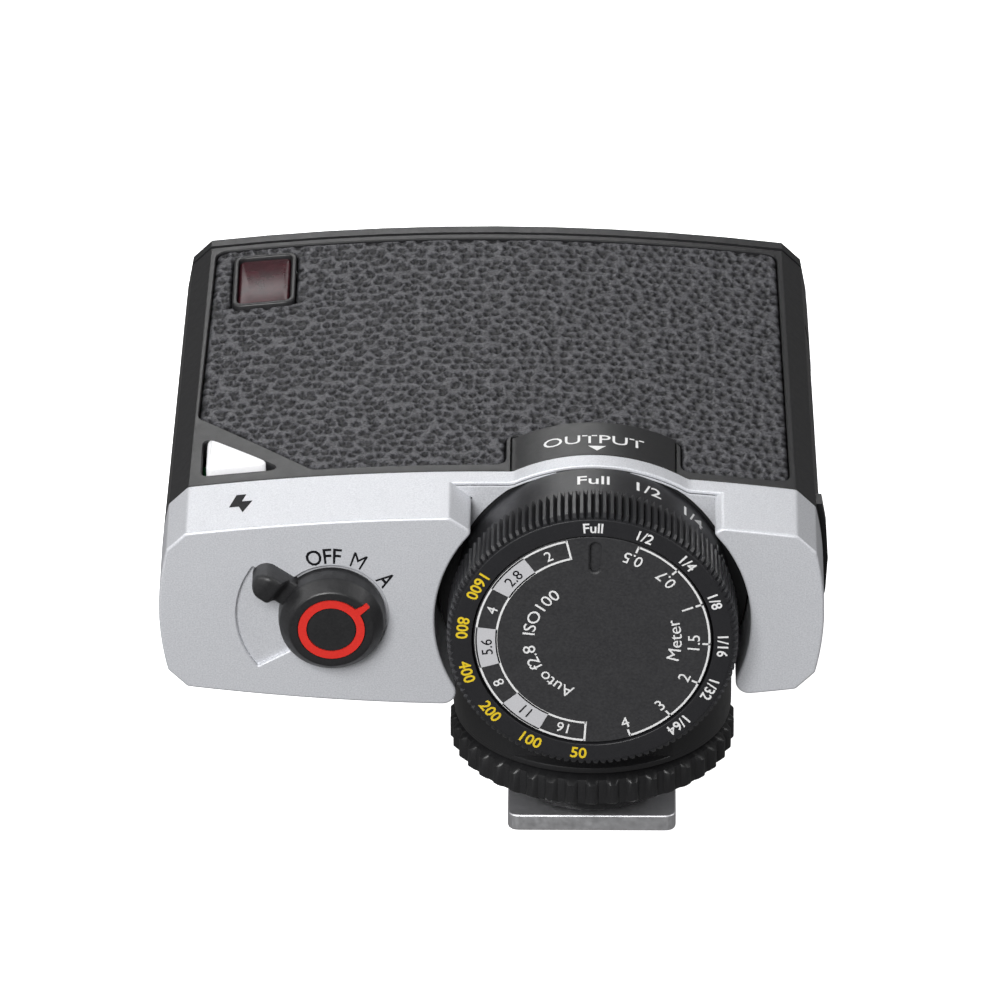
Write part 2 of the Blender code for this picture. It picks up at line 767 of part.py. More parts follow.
def make_front_shell():
    rear, front = SPLIT_Y + GAP, BEZEL_Y - GAP
    shell = case_solid("front_shell", BLACK_PLASTIC, [(rear, 0), (front, 0)])
    hollow = case_solid("shell_hollow", None, [(rear - OVER, WALL), (front + OVER, WALL)])
    cut(shell, hollow)
    edge = rounded(leather_outline(), LEATHER_CORNER)
    recess = domed_slab("leather_recess", None, [edge], -LEATHER_RECESS, OVER)
    window = domed_slab(
        "window_hole", None, [rounded(shrunk(window_outline(), -GAP), WINDOW_CORNER)], -WALL - OVER, OVER
    )
    pocket = domed_slab("button_hole", None, [shrunk(button_outline(), -BUTTON_GAP)], -WALL - OVER, OVER)
    slot = prism("hood_slot", None, [slot_outline()], -SPLIT_Y - HOOD_LENGTH - GAP, -SPLIT_Y + OVER)
    attach(DIAL_AXIS, slot)
    cut(shell, recess, window, pocket, slot)
    opening = door_block("door_opening", None, GAP, DOOR_SWING_RELIEF)
    cut(shell, opening)
    for name, start in (("rear", 0.0), ("front", 2 * KNUCKLE_LENGTH)):
        end = start + KNUCKLE_LENGTH + GAP
        swept = hinge_rod(f"knuckle_clearance_{name}", KNUCKLE_RADIUS + GAP, start - GAP, end)
        cut(shell, swept)
    lug = hinge_rod("hinge_lug", KNUCKLE_RADIUS, KNUCKLE_LENGTH + 2 * GAP, 2 * KNUCKLE_LENGTH - 2 * GAP)
    pin_hole = hinge_rod("shell_pin_hole", PIN_RADIUS + PIN_CLEARANCE, KNUCKLE_LENGTH, 2 * KNUCKLE_LENGTH)
    join(shell, lug)
    cut(shell, pin_hole)
    cut(shell, place(rod("lead_hole", None, 2.5, BODY_BOTTOM - OVER, BODY_BOTTOM + 2 * WALL, 20)))
    for i, (x, y) in enumerate(pedestal_screw_places(), 1):
        low, high = BODY_BOTTOM - OVER, BODY_BOTTOM + 3 * WALL
        hole = rod(f"shell_screw_hole_{i}", None, SCREW_SHANK + GAP, low, high, 12)
        cut(shell, place(hole, (x, y, 0)))
    for i, (x, y) in enumerate(case_screw_places(), 1):
        floor = bottom_z(x) + WALL + 2 * GAP
        half = TONGUE_WIDTH / 2
        rear = y - SCREW_HEAD - 2 * GAP
        front = SPLIT_Y + TONGUE_REACH
        tongue = block(
            f"tongue_{i}", None, (x - half, rear, floor), (x + half, front, floor + TONGUE_THICKNESS)
        )
        riser = block(
            f"tongue_riser_{i}",
            None,
            (x - half + 0.2, SPLIT_Y + OVER, floor - 0.8 * WALL),
            (x + half - 0.2, front - 0.2, floor + OVER),
        )
        hole = rod(f"tongue_hole_{i}", None, SCREW_SHANK + GAP, floor - OVER, floor + 4, 12)
        join(shell, tongue, riser)
        cut(shell, place(hole, (x, y, 0)))
    return shell


def slot_outline():
    half = HOOD_HALF_WIDTH + GAP
    low = BODY_TOP - DIAL_Z - 2 * WALL
    return rectangle(-half, low, half, ARCH_RISE + OVER)


def make_index_hood():
    hood = prism("index_hood", BLACK_PLASTIC, [hood_outline()], -SPLIT_Y - HOOD_LENGTH, -SPLIT_Y - GAP)
    attach(DIAL_AXIS, hood)
    return hood


def make_leather_panel():
    outline = rounded(shrunk(leather_outline(), TRIM_GAP), LEATHER_CORNER)
    window = rounded(shrunk(window_outline(), -TRIM_GAP), WINDOW_CORNER)
    low = -LEATHER_RECESS + GAP
    return domed_slab("leather_panel", LEATHERETTE, [outline, window], low, low + LEATHER_THICKNESS)


def make_slave_window():
    frame = rounded(window_outline(), WINDOW_CORNER)
    inner = shrunk(window_outline(), WINDOW_FRAME)
    opening = rounded(inner, WINDOW_CORNER / 2)
    pane = rounded(shrunk(inner, TRIM_GAP), WINDOW_CORNER / 2)
    domed_slab("sensor_bezel", BLACK_PLASTIC, [frame, opening], -WALL, WINDOW_PROUD)
    domed_slab("sensor_window", RED_WINDOW, [pane], -WALL, WINDOW_PROUD - GAP)
    centre_x = (inner[0][0] + inner[1][0]) / 2
    near = inner[0][1]
    low = top_z(centre_x) - WALL - 2.4
    block("slave_sensor", GREY_PLASTIC, (centre_x - 2, near, low), (centre_x + 2, near + 3.5, low + 1.4))


# ---------------------------------------------------------------- test button


def make_test_button():
    x, y = button_stem_place()
    stem_axis = axis_empty("test_button_axis", (x, y, top_z(x)))
    face = domed_slab("test_button", WHITE_PLASTIC, [button_outline()], -BUTTON_DEPTH, BUTTON_PROUD)
    under = top_z(x) - BUTTON_DEPTH
    stem_end = under - 1.0
    stem = place(rod("button_stem", None, BUTTON_STEM_RADIUS, stem_end, under + 1, 16), (x, y, 0))
    join(face, stem)
    attach_in_place(stem_axis, face, stem)
    switch_top = stem_end - BUTTON_TRAVEL - GAP
    board_top = switch_top - SWITCH_HEIGHT - GAP
    switch = rod("tact_switch", GREY_PLASTIC, SWITCH_RADIUS, board_top + GAP, switch_top, 16)
    place(switch, (x, y, 0))
    spring = coil("button_spring", STEEL, 1.85, 0.15, board_top + GAP, under - GAP, 4)
    place(spring, (x, y, 0))
    near, far = SPLIT_Y + 2 * GAP, BOARD_REAR_Y - GAP
    low = board_top - 1.0
    block("switch_board", CIRCUIT_BOARD, (INNER_LEFT + 1.4, near, low), (x + 6.0, far, board_top))
    lamp = rod("ready_lamp", CLEAR_PLASTIC, 0.8, board_top + GAP, board_top + 2.4, 16)
    place(lamp, (x + 3.1, y, 0))
    return low


# ---------------------------------------------------------------- output dial


def housing_outline():
    """The plate behind the dial: it fills the notch's upper part and is round below the case."""
    radius = NOTCH_RADIUS - GAP
    corner = math.radians(NOTCH_CORNER_ANGLE)
    flank = math.radians(NOTCH_FLARE)
    corner_x, corner_y = radius * math.cos(corner), radius * math.sin(corner)
    reach_y = BODY_TOP - DIAL_Z - crown(NOTCH_RADIUS) - BAND_THICKNESS - GAP
    reach_x = corner_x + (reach_y - corner_y) / math.tan(flank)
    across = [reach_x - 2 * reach_x * i / 20 for i in range(21)]
    top = [(x, min(roof(x) - BAND_THICKNESS - GAP, roof(0))) for x in across]
    left = arc(radius, 180 - NOTCH_CORNER_ANGLE, 200, 16)
    lower = arc(PEDESTAL_RADIUS, 200, 340, 28)
    right = arc(radius, 340, 360 + NOTCH_CORNER_ANGLE, 16)
    return top + left + lower + right


def make_dial_housing():
    rear = BAND_REAR
    front = rear - HOUSING_THICKNESS
    plate = prism("dial_housing", BLACK_PLASTIC, [housing_outline()], front, rear)
    liner_outer = NOTCH_RADIUS - GAP - 0.1
    liner = turned(
        "liner",
        None,
        [
            (liner_outer, front + 0.2),
            (liner_outer, PANEL - GAP),
            (liner_outer - LINER_WALL, PANEL - GAP),
            (liner_outer - LINER_WALL, front + 0.2),
        ],
        steps=48,
    )
    top = BODY_TOP - DIAL_Z + 6
    corner_y = NOTCH_RADIUS * math.sin(math.radians(NOTCH_CORNER_ANGLE)) - GAP
    below = bottom_z(-NOTCH_RADIUS) - DIAL_Z + NOTCH_FILLET + GAP
    side = NOTCH_RADIUS + OVER
    over = block("liner_top_cut", None, (-side, corner_y, front - 1), (side, top, PANEL + 1))
    under = block("liner_low_cut", None, (-side, -side, front - 1), (side, below, PANEL + 1))
    cut(liner, over, under)
    bush = rod("dial_bush", None, HUB_RADIUS + GAP + HUB_WALL, front + 0.5, rear + 3.5, 32)
    bore = rod("dial_bore", None, HUB_RADIUS + GAP, front - OVER, rear + 5, 32)
    attach(DIAL_AXIS, plate, liner, over, under, bush, bore)
    join(plate, liner, bush)
    cut(plate, bore)
    return plate


def knurl_outline():
    pitch = 360 / KNURL_TEETH
    points = []
    for tooth in range(KNURL_TEETH):
        start = tooth * pitch
        crest, root = KNURL_RADIUS, KNURL_RADIUS - KNURL_DEPTH
        for share, radius in ((0.0, root), (0.25, crest), (0.75, crest)):
            points += arc(radius, start + share * pitch, start + share * pitch, 1)[:1]
    return points


def make_output_ring():
    face = DIAL_FACE
    floor = face - DISC_RECESS
    knurl_high = face - 0.5
    knurl_low = knurl_high - KNURL_LENGTH
    rear = BAND_REAR + GAP
    wall = 1.6
    well = DISC_RADIUS + GAP / 2 + 0.1
    hub_end = -BOARD_REAR_Y + 4.6
    ring = turned(
        "output_ring",
        BLACK_PLASTIC,
        [
            (BARREL_RADIUS, rear),
            (BARREL_RADIUS, knurl_low - 0.1),
            (DIAL_FACE_RADIUS + 0.05, knurl_low),
            (DIAL_FACE_RADIUS + 0.05, knurl_high),
            (DIAL_FACE_RADIUS - 0.1, face),
            (well, face),
            (well, floor),
            (DISC_BOSS_RADIUS + GAP, floor),
            (DISC_BOSS_RADIUS + GAP, hub_end),
            (HUB_RADIUS, hub_end),
            (HUB_RADIUS, floor - wall),
            (BARREL_RADIUS - wall, floor - wall),
            (BARREL_RADIUS - wall, rear),
        ],
        steps=56,
    )
    bore = circle(BARREL_RADIUS - wall / 2, 40)
    teeth = prism("knurl", None, [knurl_outline(), bore], knurl_low + 0.05, knurl_high - 0.05)
    join(ring, teeth)
    clip_face = BAND_REAR - HOUSING_THICKNESS - GAP
    clip = turned(
        "dial_clip",
        STEEL,
        [
            (HUB_RADIUS + TRIM_GAP, clip_face - 0.8),
            (HUB_RADIUS + 2.4, clip_face - 0.8),
            (HUB_RADIUS + 2.4, clip_face),
            (HUB_RADIUS + TRIM_GAP, clip_face),
        ],
        steps=32,
    )
    encoder = rod("output_encoder", GREY_PLASTIC, ENCODER_RADIUS, -BOARD_REAR_Y + GAP, hub_end - GAP, 32)
    attach(DIAL_AXIS, ring, teeth, clip, encoder)
    return ring


def make_calculator_disc():
    floor = DIAL_FACE - DISC_RECESS
    low = floor + GAP
    disc = turned(
        "calculator_disc",
        BLACK_PLASTIC,
        [
            (0, low - 6),
            (DISC_BOSS_RADIUS, low - 6),
            (DISC_BOSS_RADIUS, low),
            (DISC_RADIUS, low),
            (DISC_RADIUS, low + DISC_THICKNESS - 0.15),
            (DISC_RADIUS - 0.15, low + DISC_THICKNESS),
            (0, low + DISC_THICKNESS),
        ],
        steps=56,
    )
    half = NAIL_GROOVE_WIDTH / 2
    top = low + DISC_THICKNESS
    outer_end = arc(half, 0, 180, 8, (0, NAIL_GROOVE_OUT - half))
    inner_end = arc(half, 180, 360, 8, (0, NAIL_GROOVE_IN + half))
    outline = outer_end + inner_end
    groove = prism("nail_groove", None, [outline], top - NAIL_GROOVE_DEPTH, top + OVER)
    attach(CALCULATOR_AXIS, disc, groove)
    cut(disc, groove)
    return disc


# ---------------------------------------------------------------- mode switch


def make_mode_switch():
    base = PANEL - KNOB_RECESS + GAP
    top = base + KNOB_HEIGHT
    knob = turned(
        "mode_knob",
        BLACK_PLASTIC,
        [
            (0, base),
            (KNOB_RADIUS, base),
            (KNOB_RADIUS, base + 0.55 * KNOB_HEIGHT),
            (KNOB_RADIUS - 0.4, base + 0.75 * KNOB_HEIGHT),
            (KNOB_RADIUS - 1.1, top),
            (0, top),
        ],
        steps=40,
    )
    half = LEVER_WIDTH / 2
    lever_outline = [(2.0, -half), (KNOB_RADIUS, -half)]
    lever_outline += arc(half, -80, 80, 8, (LEVER_REACH - half, 0))
    lever_outline += [(KNOB_RADIUS, half), (2.0, half)]
    lever = prism("mode_lever", None, [lever_outline], base + 0.05, base + LEVER_THICKNESS)
    lever.rotation_euler.z = math.radians(LEVER_ANGLE)
    pointer_low = top - POINTER_THICKNESS
    groove = prism("pointer_groove", None, pointer_outlines(TRIM_GAP), pointer_low - TRIM_GAP, top + OVER)
    groove.rotation_euler.z = math.radians(POINTER_ANGLE)
    pointer = prism("mode_pointer", RED_PAINT, pointer_outlines(0.0), pointer_low, top)
    pointer.rotation_euler.z = math.radians(POINTER_ANGLE)
    shaft_top = pointer_low - TRIM_GAP - 0.6
    socket = rod("shaft_socket", None, MODE_SHAFT_RADIUS + TRIM_GAP, base - OVER, shaft_top, 24)
    switch_front = -BOARD_REAR_Y + GAP
    switch_rear = switch_front + 4.0
    shaft = rod("mode_shaft", STEEL, MODE_SHAFT_RADIUS, switch_rear + GAP, shaft_top - GAP, 24)
    attach(MODE_AXIS, knob, lever, groove, pointer, socket, shaft)
    join(knob, lever)
    cut(knob, groove, socket)
    half = MODE_SWITCH_SIZE / 2
    low = (MODE_X - half, -switch_rear, MODE_Z - half)
    high = (MODE_X + half, -switch_front, MODE_Z + half)
    block("mode_switch", GREY_PLASTIC, low, high)


def pointer_outlines(grow):
    """The pointer: a ring with a tick on it that points along +X."""
    outer = POINTER_OUTER + grow
    half = POINTER_WIDTH / 2 + grow
    edge = math.degrees(math.asin(half / outer))
    rim = arc(outer, edge, 360 - edge, 40)
    tick = [(POINTER_REACH + grow, -half), (POINTER_REACH + grow, half)]
    return [rim + tick, circle(POINTER_INNER - grow, 36)]


# ---------------------------------------------------------------- pedestal, lock wheel and foot


def pedestal_screw_places():
    angles = [math.radians(45 + 90 * i) for i in range(4)]
    return [(PEDESTAL_SCREW_CIRCLE * math.cos(a), PEDESTAL_SCREW_CIRCLE * math.sin(a)) for a in angles]


def pedestal_outline(inset=0.0):
    """A circle about the foot's axis with a flat towards the user."""
    radius = PEDESTAL_RADIUS - inset
    flat = PEDESTAL_FLAT - inset
    edge = math.degrees(math.asin(flat / radius))
    return arc(radius, -edge, 180 + edge, 44)


def make_pedestal():
    top = BODY_BOTTOM + 3
    floor = PEDESTAL_BOTTOM + PEDESTAL_WALL
    pedestal = prism("pedestal", BLACK_PLASTIC, [pedestal_outline()], PEDESTAL_BOTTOM + 0.2, top)
    hollow = prism("pedestal_hollow", None, [pedestal_outline(PEDESTAL_WALL)], floor, top + OVER)
    cut(pedestal, hollow)
    ledge_radius = PEDESTAL_RADIUS - 0.1
    ledge_top = PEDESTAL_BOTTOM + LEDGE_HEIGHT
    join(pedestal, rod("pedestal_ledge", None, ledge_radius, PEDESTAL_BOTTOM, ledge_top, 48))
    above = case_solid("pedestal_top_cut", None, [(REAR_Y - 5, -GAP), (FRONT_Y, -GAP)])
    boss_radius = PEDESTAL_RADIUS - PEDESTAL_WALL - PEDESTAL_SCREW_CIRCLE + GAP
    boss_low = floor + STEM_FLANGE_HEIGHT + 3 * GAP
    for i, (x, y) in enumerate(pedestal_screw_places(), 1):
        boss = rod(f"pedestal_boss_{i}", None, boss_radius, boss_low, top - 0.2, 16)
        join(pedestal, place(boss, (x, y, 0)))
    cut(pedestal, above)
    for i, (x, y) in enumerate(pedestal_screw_places(), 1):
        hole = rod(f"pedestal_screw_hole_{i}", None, SCREW_SHANK + GAP / 2, floor + 1, top + OVER, 12)
        cut(pedestal, place(hole, (x, y, 0)))
        head_z = bottom_z(x) + WALL + 2 * GAP
        screw(f"pedestal_screw_{i}", (x, y, head_z), PEDESTAL_SCREW_LENGTH)
    cut(pedestal, rod("stem_hole", None, STEM_RADIUS + GAP, PEDESTAL_BOTTOM - OVER, floor + OVER, 36))
    return pedestal


def make_foot_stem():
    flange_low = PEDESTAL_BOTTOM + PEDESTAL_WALL + GAP
    flange_top = flange_low + STEM_FLANGE_HEIGHT
    low = PLATE_TOP + GAP
    bore = INSULATOR_RADIUS + GAP
    bore_top = FOOT_Z + INSULATOR_HEIGHT + GAP
    stem = turned(
        "foot_stem",
        BLACK_PLASTIC,
        [
            (bore, low),
            (STEM_RADIUS, low),
            (STEM_RADIUS, flange_low),
            (STEM_FLANGE_RADIUS, flange_low),
            (STEM_FLANGE_RADIUS, flange_top),
            (1.3, flange_top),
            (1.3, bore_top),
            (bore, bore_top),
        ],
        steps=36,
    )
    for side in (-1, 1):
        inner, outer = side * NECK_WIDTH / 2, side * (STEM_RADIUS + OVER)
        reach = STEM_RADIUS + OVER
        low_corner = (min(inner, outer), -reach, low - OVER)
        high_corner = (max(inner, outer), reach, PEDESTAL_BOTTOM)
        cut(stem, block(f"neck_flat_{'left' if side < 0 else 'right'}", None, low_corner, high_corner))
    for i, (x, y) in enumerate(foot_screw_places(), 1):
        top = FOOT_Z + FOOT_SCREW_LENGTH + 2 * GAP
        hole = rod(f"stem_screw_hole_{i}", None, SCREW_SHANK + GAP / 2, low - OVER, top, 12)
        cut(stem, place(hole, (x, y, 0)))
    return stem


def foot_screw_places():
    return [(sx * FOOT_SCREW_X, sy * FOOT_SCREW_Y) for sx in (-1, 1) for sy in (-1, 1)]


def make_foot_plate():
    half_x, half_y = PLATE_WIDTH / 2, PLATE_LENGTH / 2
    edge = rounded(rectangle(-half_x, -half_y, half_x, half_y), PLATE_CORNER)
    hole = circle(INSULATOR_RADIUS + GAP / 2, 24)
    plate = prism("foot_plate", STEEL, [edge, hole], FOOT_Z, PLATE_TOP)
    for i, (x, y) in enumerate(foot_screw_places(), 1):
        sink = turned(
            f"countersink_{i}",
            None,
            [
                (0, FOOT_Z - OVER),
                (SCREW_HEAD + GAP / 2, FOOT_Z - OVER),
                (SCREW_HEAD + GAP / 2, FOOT_Z + 0.3),
                (SCREW_SHANK + GAP / 2, FOOT_Z + 1.2),
                (SCREW_SHANK + GAP / 2, PLATE_TOP + OVER),
                (0, PLATE_TOP + OVER),
            ],
            steps=12,
        )
        cut(plate, place(sink, (x, y, 0)))
        profile = [
            (0, FOOT_Z + 0.02),
            (SCREW_HEAD, FOOT_Z + 0.02),
            (SCREW_HEAD, FOOT_Z + 0.2),
            (SCREW_SHANK, FOOT_Z + 1.15),
            (SCREW_SHANK, FOOT_Z + FOOT_SCREW_LENGTH),
            (0, FOOT_Z + FOOT_SCREW_LENGTH),
        ]
        place(turned(f"foot_screw_{i}", STEEL, profile, steps=12), (x, y, 0))
    return plate


def wheel_outline():
    """The lock wheel's rim: narrow ridges with a hollow between each two."""
    pitch = 360 / WHEEL_RIDGES
    points = []
    for ridge in range(WHEEL_RIDGES):
        for share, depth in ((-0.15, 0), (0.15, 0), (0.5, 1)):
            angle = (ridge + share) * pitch
            radius = WHEEL_RADIUS - depth * WHEEL_SCALLOP
            points += arc(radius, angle, angle, 1)[:1]
    return points


def make_lock_wheel():
    bore = circle(STEM_RADIUS + GAP, 36)
    wheel = prism("lock_wheel", BLACK_PLASTIC, [wheel_outline(), bore], WHEEL_BOTTOM, WHEEL_TOP)
    seat_top = WHEEL_BOTTOM + WASHER_THICKNESS - WASHER_PROUD + GAP
    seat = rod("washer_seat", None, WASHER_RADIUS + GAP, WHEEL_BOTTOM - OVER, seat_top, 40)
    cut(wheel, seat)
    across = NECK_WIDTH / 2 + GAP
    radius = STEM_RADIUS + GAP
    edge = math.degrees(math.acos(across / radius))
    hole = arc(radius, edge, 180 - edge, 12) + arc(radius, 180 + edge, 360 - edge, 12)
    low = WHEEL_BOTTOM - WASHER_PROUD
    washer = prism("pressure_washer", STEEL, [circle(WASHER_RADIUS, 40), hole], low, low + WASHER_THICKNESS)
    attach(WHEEL_AXIS, wheel, seat, washer)
    return wheel


def make_centre_contact():
    low = FOOT_Z
    top = low + INSULATOR_HEIGHT
    ledge = low + 3.0
    ceiling = top - 1.0
    turned(
        "contact_insulator",
        GREY_PLASTIC,
        [
            (CONTACT_RADIUS + GAP, low),
            (INSULATOR_RADIUS, low),
            (INSULATOR_RADIUS, top),
            (0.6, top),
            (0.6, ceiling),
            (CONTACT_COLLAR + GAP, ceiling),
            (CONTACT_COLLAR + GAP, ledge),
            (CONTACT_RADIUS + GAP, ledge),
        ],
        steps=24,
    )
    collar = ledge + GAP
    pin = turned(
        "contact_pin",
        BRASS,
        [
            (0, low - CONTACT_PROUD),
            (CONTACT_RADIUS - 0.3, low - CONTACT_PROUD),
            (CONTACT_RADIUS, low - CONTACT_PROUD + 0.3),
            (CONTACT_RADIUS, collar),
            (CONTACT_COLLAR, collar),
            (CONTACT_COLLAR, collar + 0.6),
            (0, collar + 0.6),
        ],
        steps=20,
    )
    attach(CONTACT_AXIS, pin)
    coil("contact_spring", STEEL, 1.6, 0.15, collar + 0.6 + GAP, ceiling - GAP, 4)
    points = [
        (0, 0, top + 0.4),
        (0, 0, PEDESTAL_BOTTOM + 8),
        (0, -0.2, BODY_BOTTOM - 1),
        (0, -0.9, BODY_BOTTOM + WALL),
        (0, BOARD_FRONT_Y + 1.0, BODY_BOTTOM + WALL + 3),
        (0, BOARD_FRONT_Y + 0.9, BODY_BOTTOM + WALL + 5),
    ]
    tube_along("sync_lead", COPPER, points, 0.45)


# ---------------------------------------------------------------- battery door and cells


def door_block(name, material, grow, relief=0.0):
    """The battery door's space in the case's right wall, larger by grow and by a relief below."""
    start = SPLIT_Y + DOOR_FROM_SPLIT
    low = (INNER_RIGHT - 8, start - grow, BODY_MIDDLE - DOOR_HALF_HEIGHT - grow - relief)
    high = (BODY_RIGHT + OVER, start + DOOR_LENGTH + grow, BODY_MIDDLE + DOOR_HALF_HEIGHT + grow)
    return block(name, material, low, high)


def make_battery_door():
    start = SPLIT_Y + DOOR_FROM_SPLIT
    door = case_solid("battery_door", BLACK_PLASTIC, [(start - 3, 0), (BEZEL_Y, 0)])
    inside = case_solid("door_inside", None, [(start - 4, WALL), (BEZEL_Y + OVER, WALL)])
    cut(door, inside)
    keep_inside(door, door_block("door_limit", None, 0.0))
    ridge_start = start + 0.2
    ridge_end = ridge_start + DOOR_RIDGE_WIDTH
    ridge = case_solid(
        "door_ridge", None, [(ridge_start, -DOOR_RIDGE_PROUD), (ridge_end, -DOOR_RIDGE_PROUD)]
    )
    ridge_limit = block(
        "ridge_limit",
        None,
        (BODY_RIGHT - SIDE_BULGE - 0.8, start - 1, BODY_MIDDLE - DOOR_HALF_HEIGHT + 0.4),
        (BODY_RIGHT + 2, start + 2 * DOOR_RIDGE_WIDTH, BODY_MIDDLE + DOOR_HALF_HEIGHT),
    )
    keep_inside(ridge, ridge_limit)
    join(door, ridge)
    lug_space = hinge_rod("lug_clearance", KNUCKLE_RADIUS + GAP, KNUCKLE_LENGTH, 2 * KNUCKLE_LENGTH)
    cut(door, lug_space)
    for name, offset in (("rear", 0.0), ("front", 2 * KNUCKLE_LENGTH)):
        knuckle = hinge_rod(f"knuckle_{name}", KNUCKLE_RADIUS, offset, offset + KNUCKLE_LENGTH)
        web_low = (-WEB_REACH, -HINGE_BELOW_DOOR - GAP, offset + GAP / 2)
        web_high = (GAP / 2, 0, offset + KNUCKLE_LENGTH - GAP / 2)
        web = on_hinge(block(f"knuckle_web_{name}", None, web_low, web_high))
        join(door, knuckle, web)
    hinge_length = 3 * KNUCKLE_LENGTH
    hole = hinge_rod("door_pin_hole", PIN_RADIUS + PIN_CLEARANCE, PIN_END_WALL, hinge_length - PIN_END_WALL)
    cut(door, hole)
    pin_start = PIN_END_WALL + PIN_CLEARANCE
    pin = hinge_rod("door_hinge_pin", PIN_RADIUS, pin_start, hinge_length - pin_start)
    pin.data.materials.append(STEEL)
    cells = cell_places()
    contact_x = INNER_RIGHT - FRONT_TAPER - GAP
    low = (contact_x - 0.5, cells[0] - 3.5, BODY_MIDDLE - 2.5)
    high = (contact_x, cells[1] + 3.5, BODY_MIDDLE + 2.5)
    block("door_contact", BRASS, low, high)
    door_axis = axis_empty("battery_door_axis", HINGE_POINT)
    attach_in_place(door_axis, door, bpy.data.objects["door_contact"])


def cell_places():
    first = SPLIT_Y + CELL_FROM_SPLIT + CELL_RADIUS
    return [first, first + 2 * CELL_RADIUS + CELL_GAP]


def make_battery_bay():
    right = BODY_RIGHT - CELL_FROM_RIGHT - FRONT_TAPER
    left = right - CELL_LENGTH
    z = BODY_MIDDLE
    for i, y in enumerate(cell_places(), 1):
        nub, rim = 1.0, CELL_RADIUS - 0.4
        body_end = CELL_LENGTH - nub
        profile = [
            (0, 0),
            (rim, 0),
            (CELL_RADIUS, 0.4),
            (CELL_RADIUS, body_end - 0.4),
            (rim, body_end),
            (1.9, body_end),
            (1.9, CELL_LENGTH),
            (0, CELL_LENGTH),
        ]
        cell = turned(f"battery_cell_{i}", CELL_SLEEVE, profile, steps=24)
        place(cell, (left, y, z), "right")
        spring_low = left - GAP - CELL_SPRING_LENGTH
        spring = coil(f"battery_spring_{i}", STEEL, 2.6, 0.25, 0, CELL_SPRING_LENGTH, 3)
        place(spring, (spring_low, y, z), "right")
    wall_x = left - 2 * GAP - CELL_SPRING_LENGTH
    low_y = cell_places()[0] - CELL_RADIUS - GAP - TRAY_WALL
    high_y = cell_places()[1] + CELL_RADIUS + GAP + TRAY_WALL
    low_z = z - CELL_RADIUS - GAP - TRAY_WALL
    tray = block("battery_tray", BLACK_PLASTIC, (wall_x - TRAY_WALL, low_y, low_z), (right - 2, high_y, z))
    trough = block(
        "tray_trough",
        None,
        (wall_x, low_y + TRAY_WALL, low_z + TRAY_WALL),
        (right + OVER, high_y - TRAY_WALL, z + OVER),
    )
    cut(tray, trough)


# ---------------------------------------------------------------- flash window and electronics


def lens_range():
    return BODY_LEFT + LENS_FROM_LEFT, BODY_RIGHT - LENS_FROM_RIGHT


def make_front_bezel():
    bezel = case_solid(
        "front_bezel", BLACK_PLASTIC, [(BEZEL_Y, 0), (FRONT_Y - EDGE_BREAK, 0), (FRONT_Y, EDGE_BREAK)]
    )
    left, right = lens_range()
    low, high = BODY_MIDDLE - LENS_HALF_HEIGHT, BODY_MIDDLE + LENS_HALF_HEIGHT
    window = block(
        "lens_opening",
        None,
        (left - GAP, BEZEL_Y - OVER, low - GAP),
        (right + GAP, FRONT_Y + OVER, high + GAP),
    )
    cut(bezel, window)
    x = BODY_RIGHT - SENSOR_FROM_RIGHT
    hole = rod("sensor_hole", None, SENSOR_RADIUS + TRIM_GAP, BEZEL_Y - OVER, FRONT_Y + OVER, 32)
    place(hole, (x, 0, BODY_MIDDLE), "front")
    cut(bezel, hole)
    profile = [
        (0, BEZEL_Y + 0.2),
        (SENSOR_RADIUS, BEZEL_Y + 0.2),
        (SENSOR_RADIUS, FRONT_Y - 0.6),
        (SENSOR_RADIUS * 0.6, FRONT_Y - 0.2),
        (0, FRONT_Y),
    ]
    window = turned("auto_sensor_window", CLEAR_PLASTIC, profile, steps=32)
    place(window, (x, 0, BODY_MIDDLE), "front")
    block(
        "auto_sensor",
        GREY_PLASTIC,
        (x - 2, BEZEL_Y - 3.6, BODY_MIDDLE - 2),
        (x + 2, BEZEL_Y - 0.6, BODY_MIDDLE + 2),
    )


def make_flash_head():
    left, right = lens_range()
    low, high = BODY_MIDDLE - LENS_HALF_HEIGHT, BODY_MIDDLE + LENS_HALF_HEIGHT
    front = FRONT_Y - 0.4
    back = front - LENS_THICKNESS
    count = int((right - left) / LENS_RIB)
    width = (right - left) / count
    outline = [(left, front), (right, front)]
    for i in range(count, 0, -1):
        outline.append((left + i * width, back))
        outline.append((left + (i - 0.5) * width, back + 0.5))
    outline.append((left, back))
    prism("flash_lens", CLEAR_PLASTIC, [outline], low, high)
    make_reflector(left, right, back - GAP)


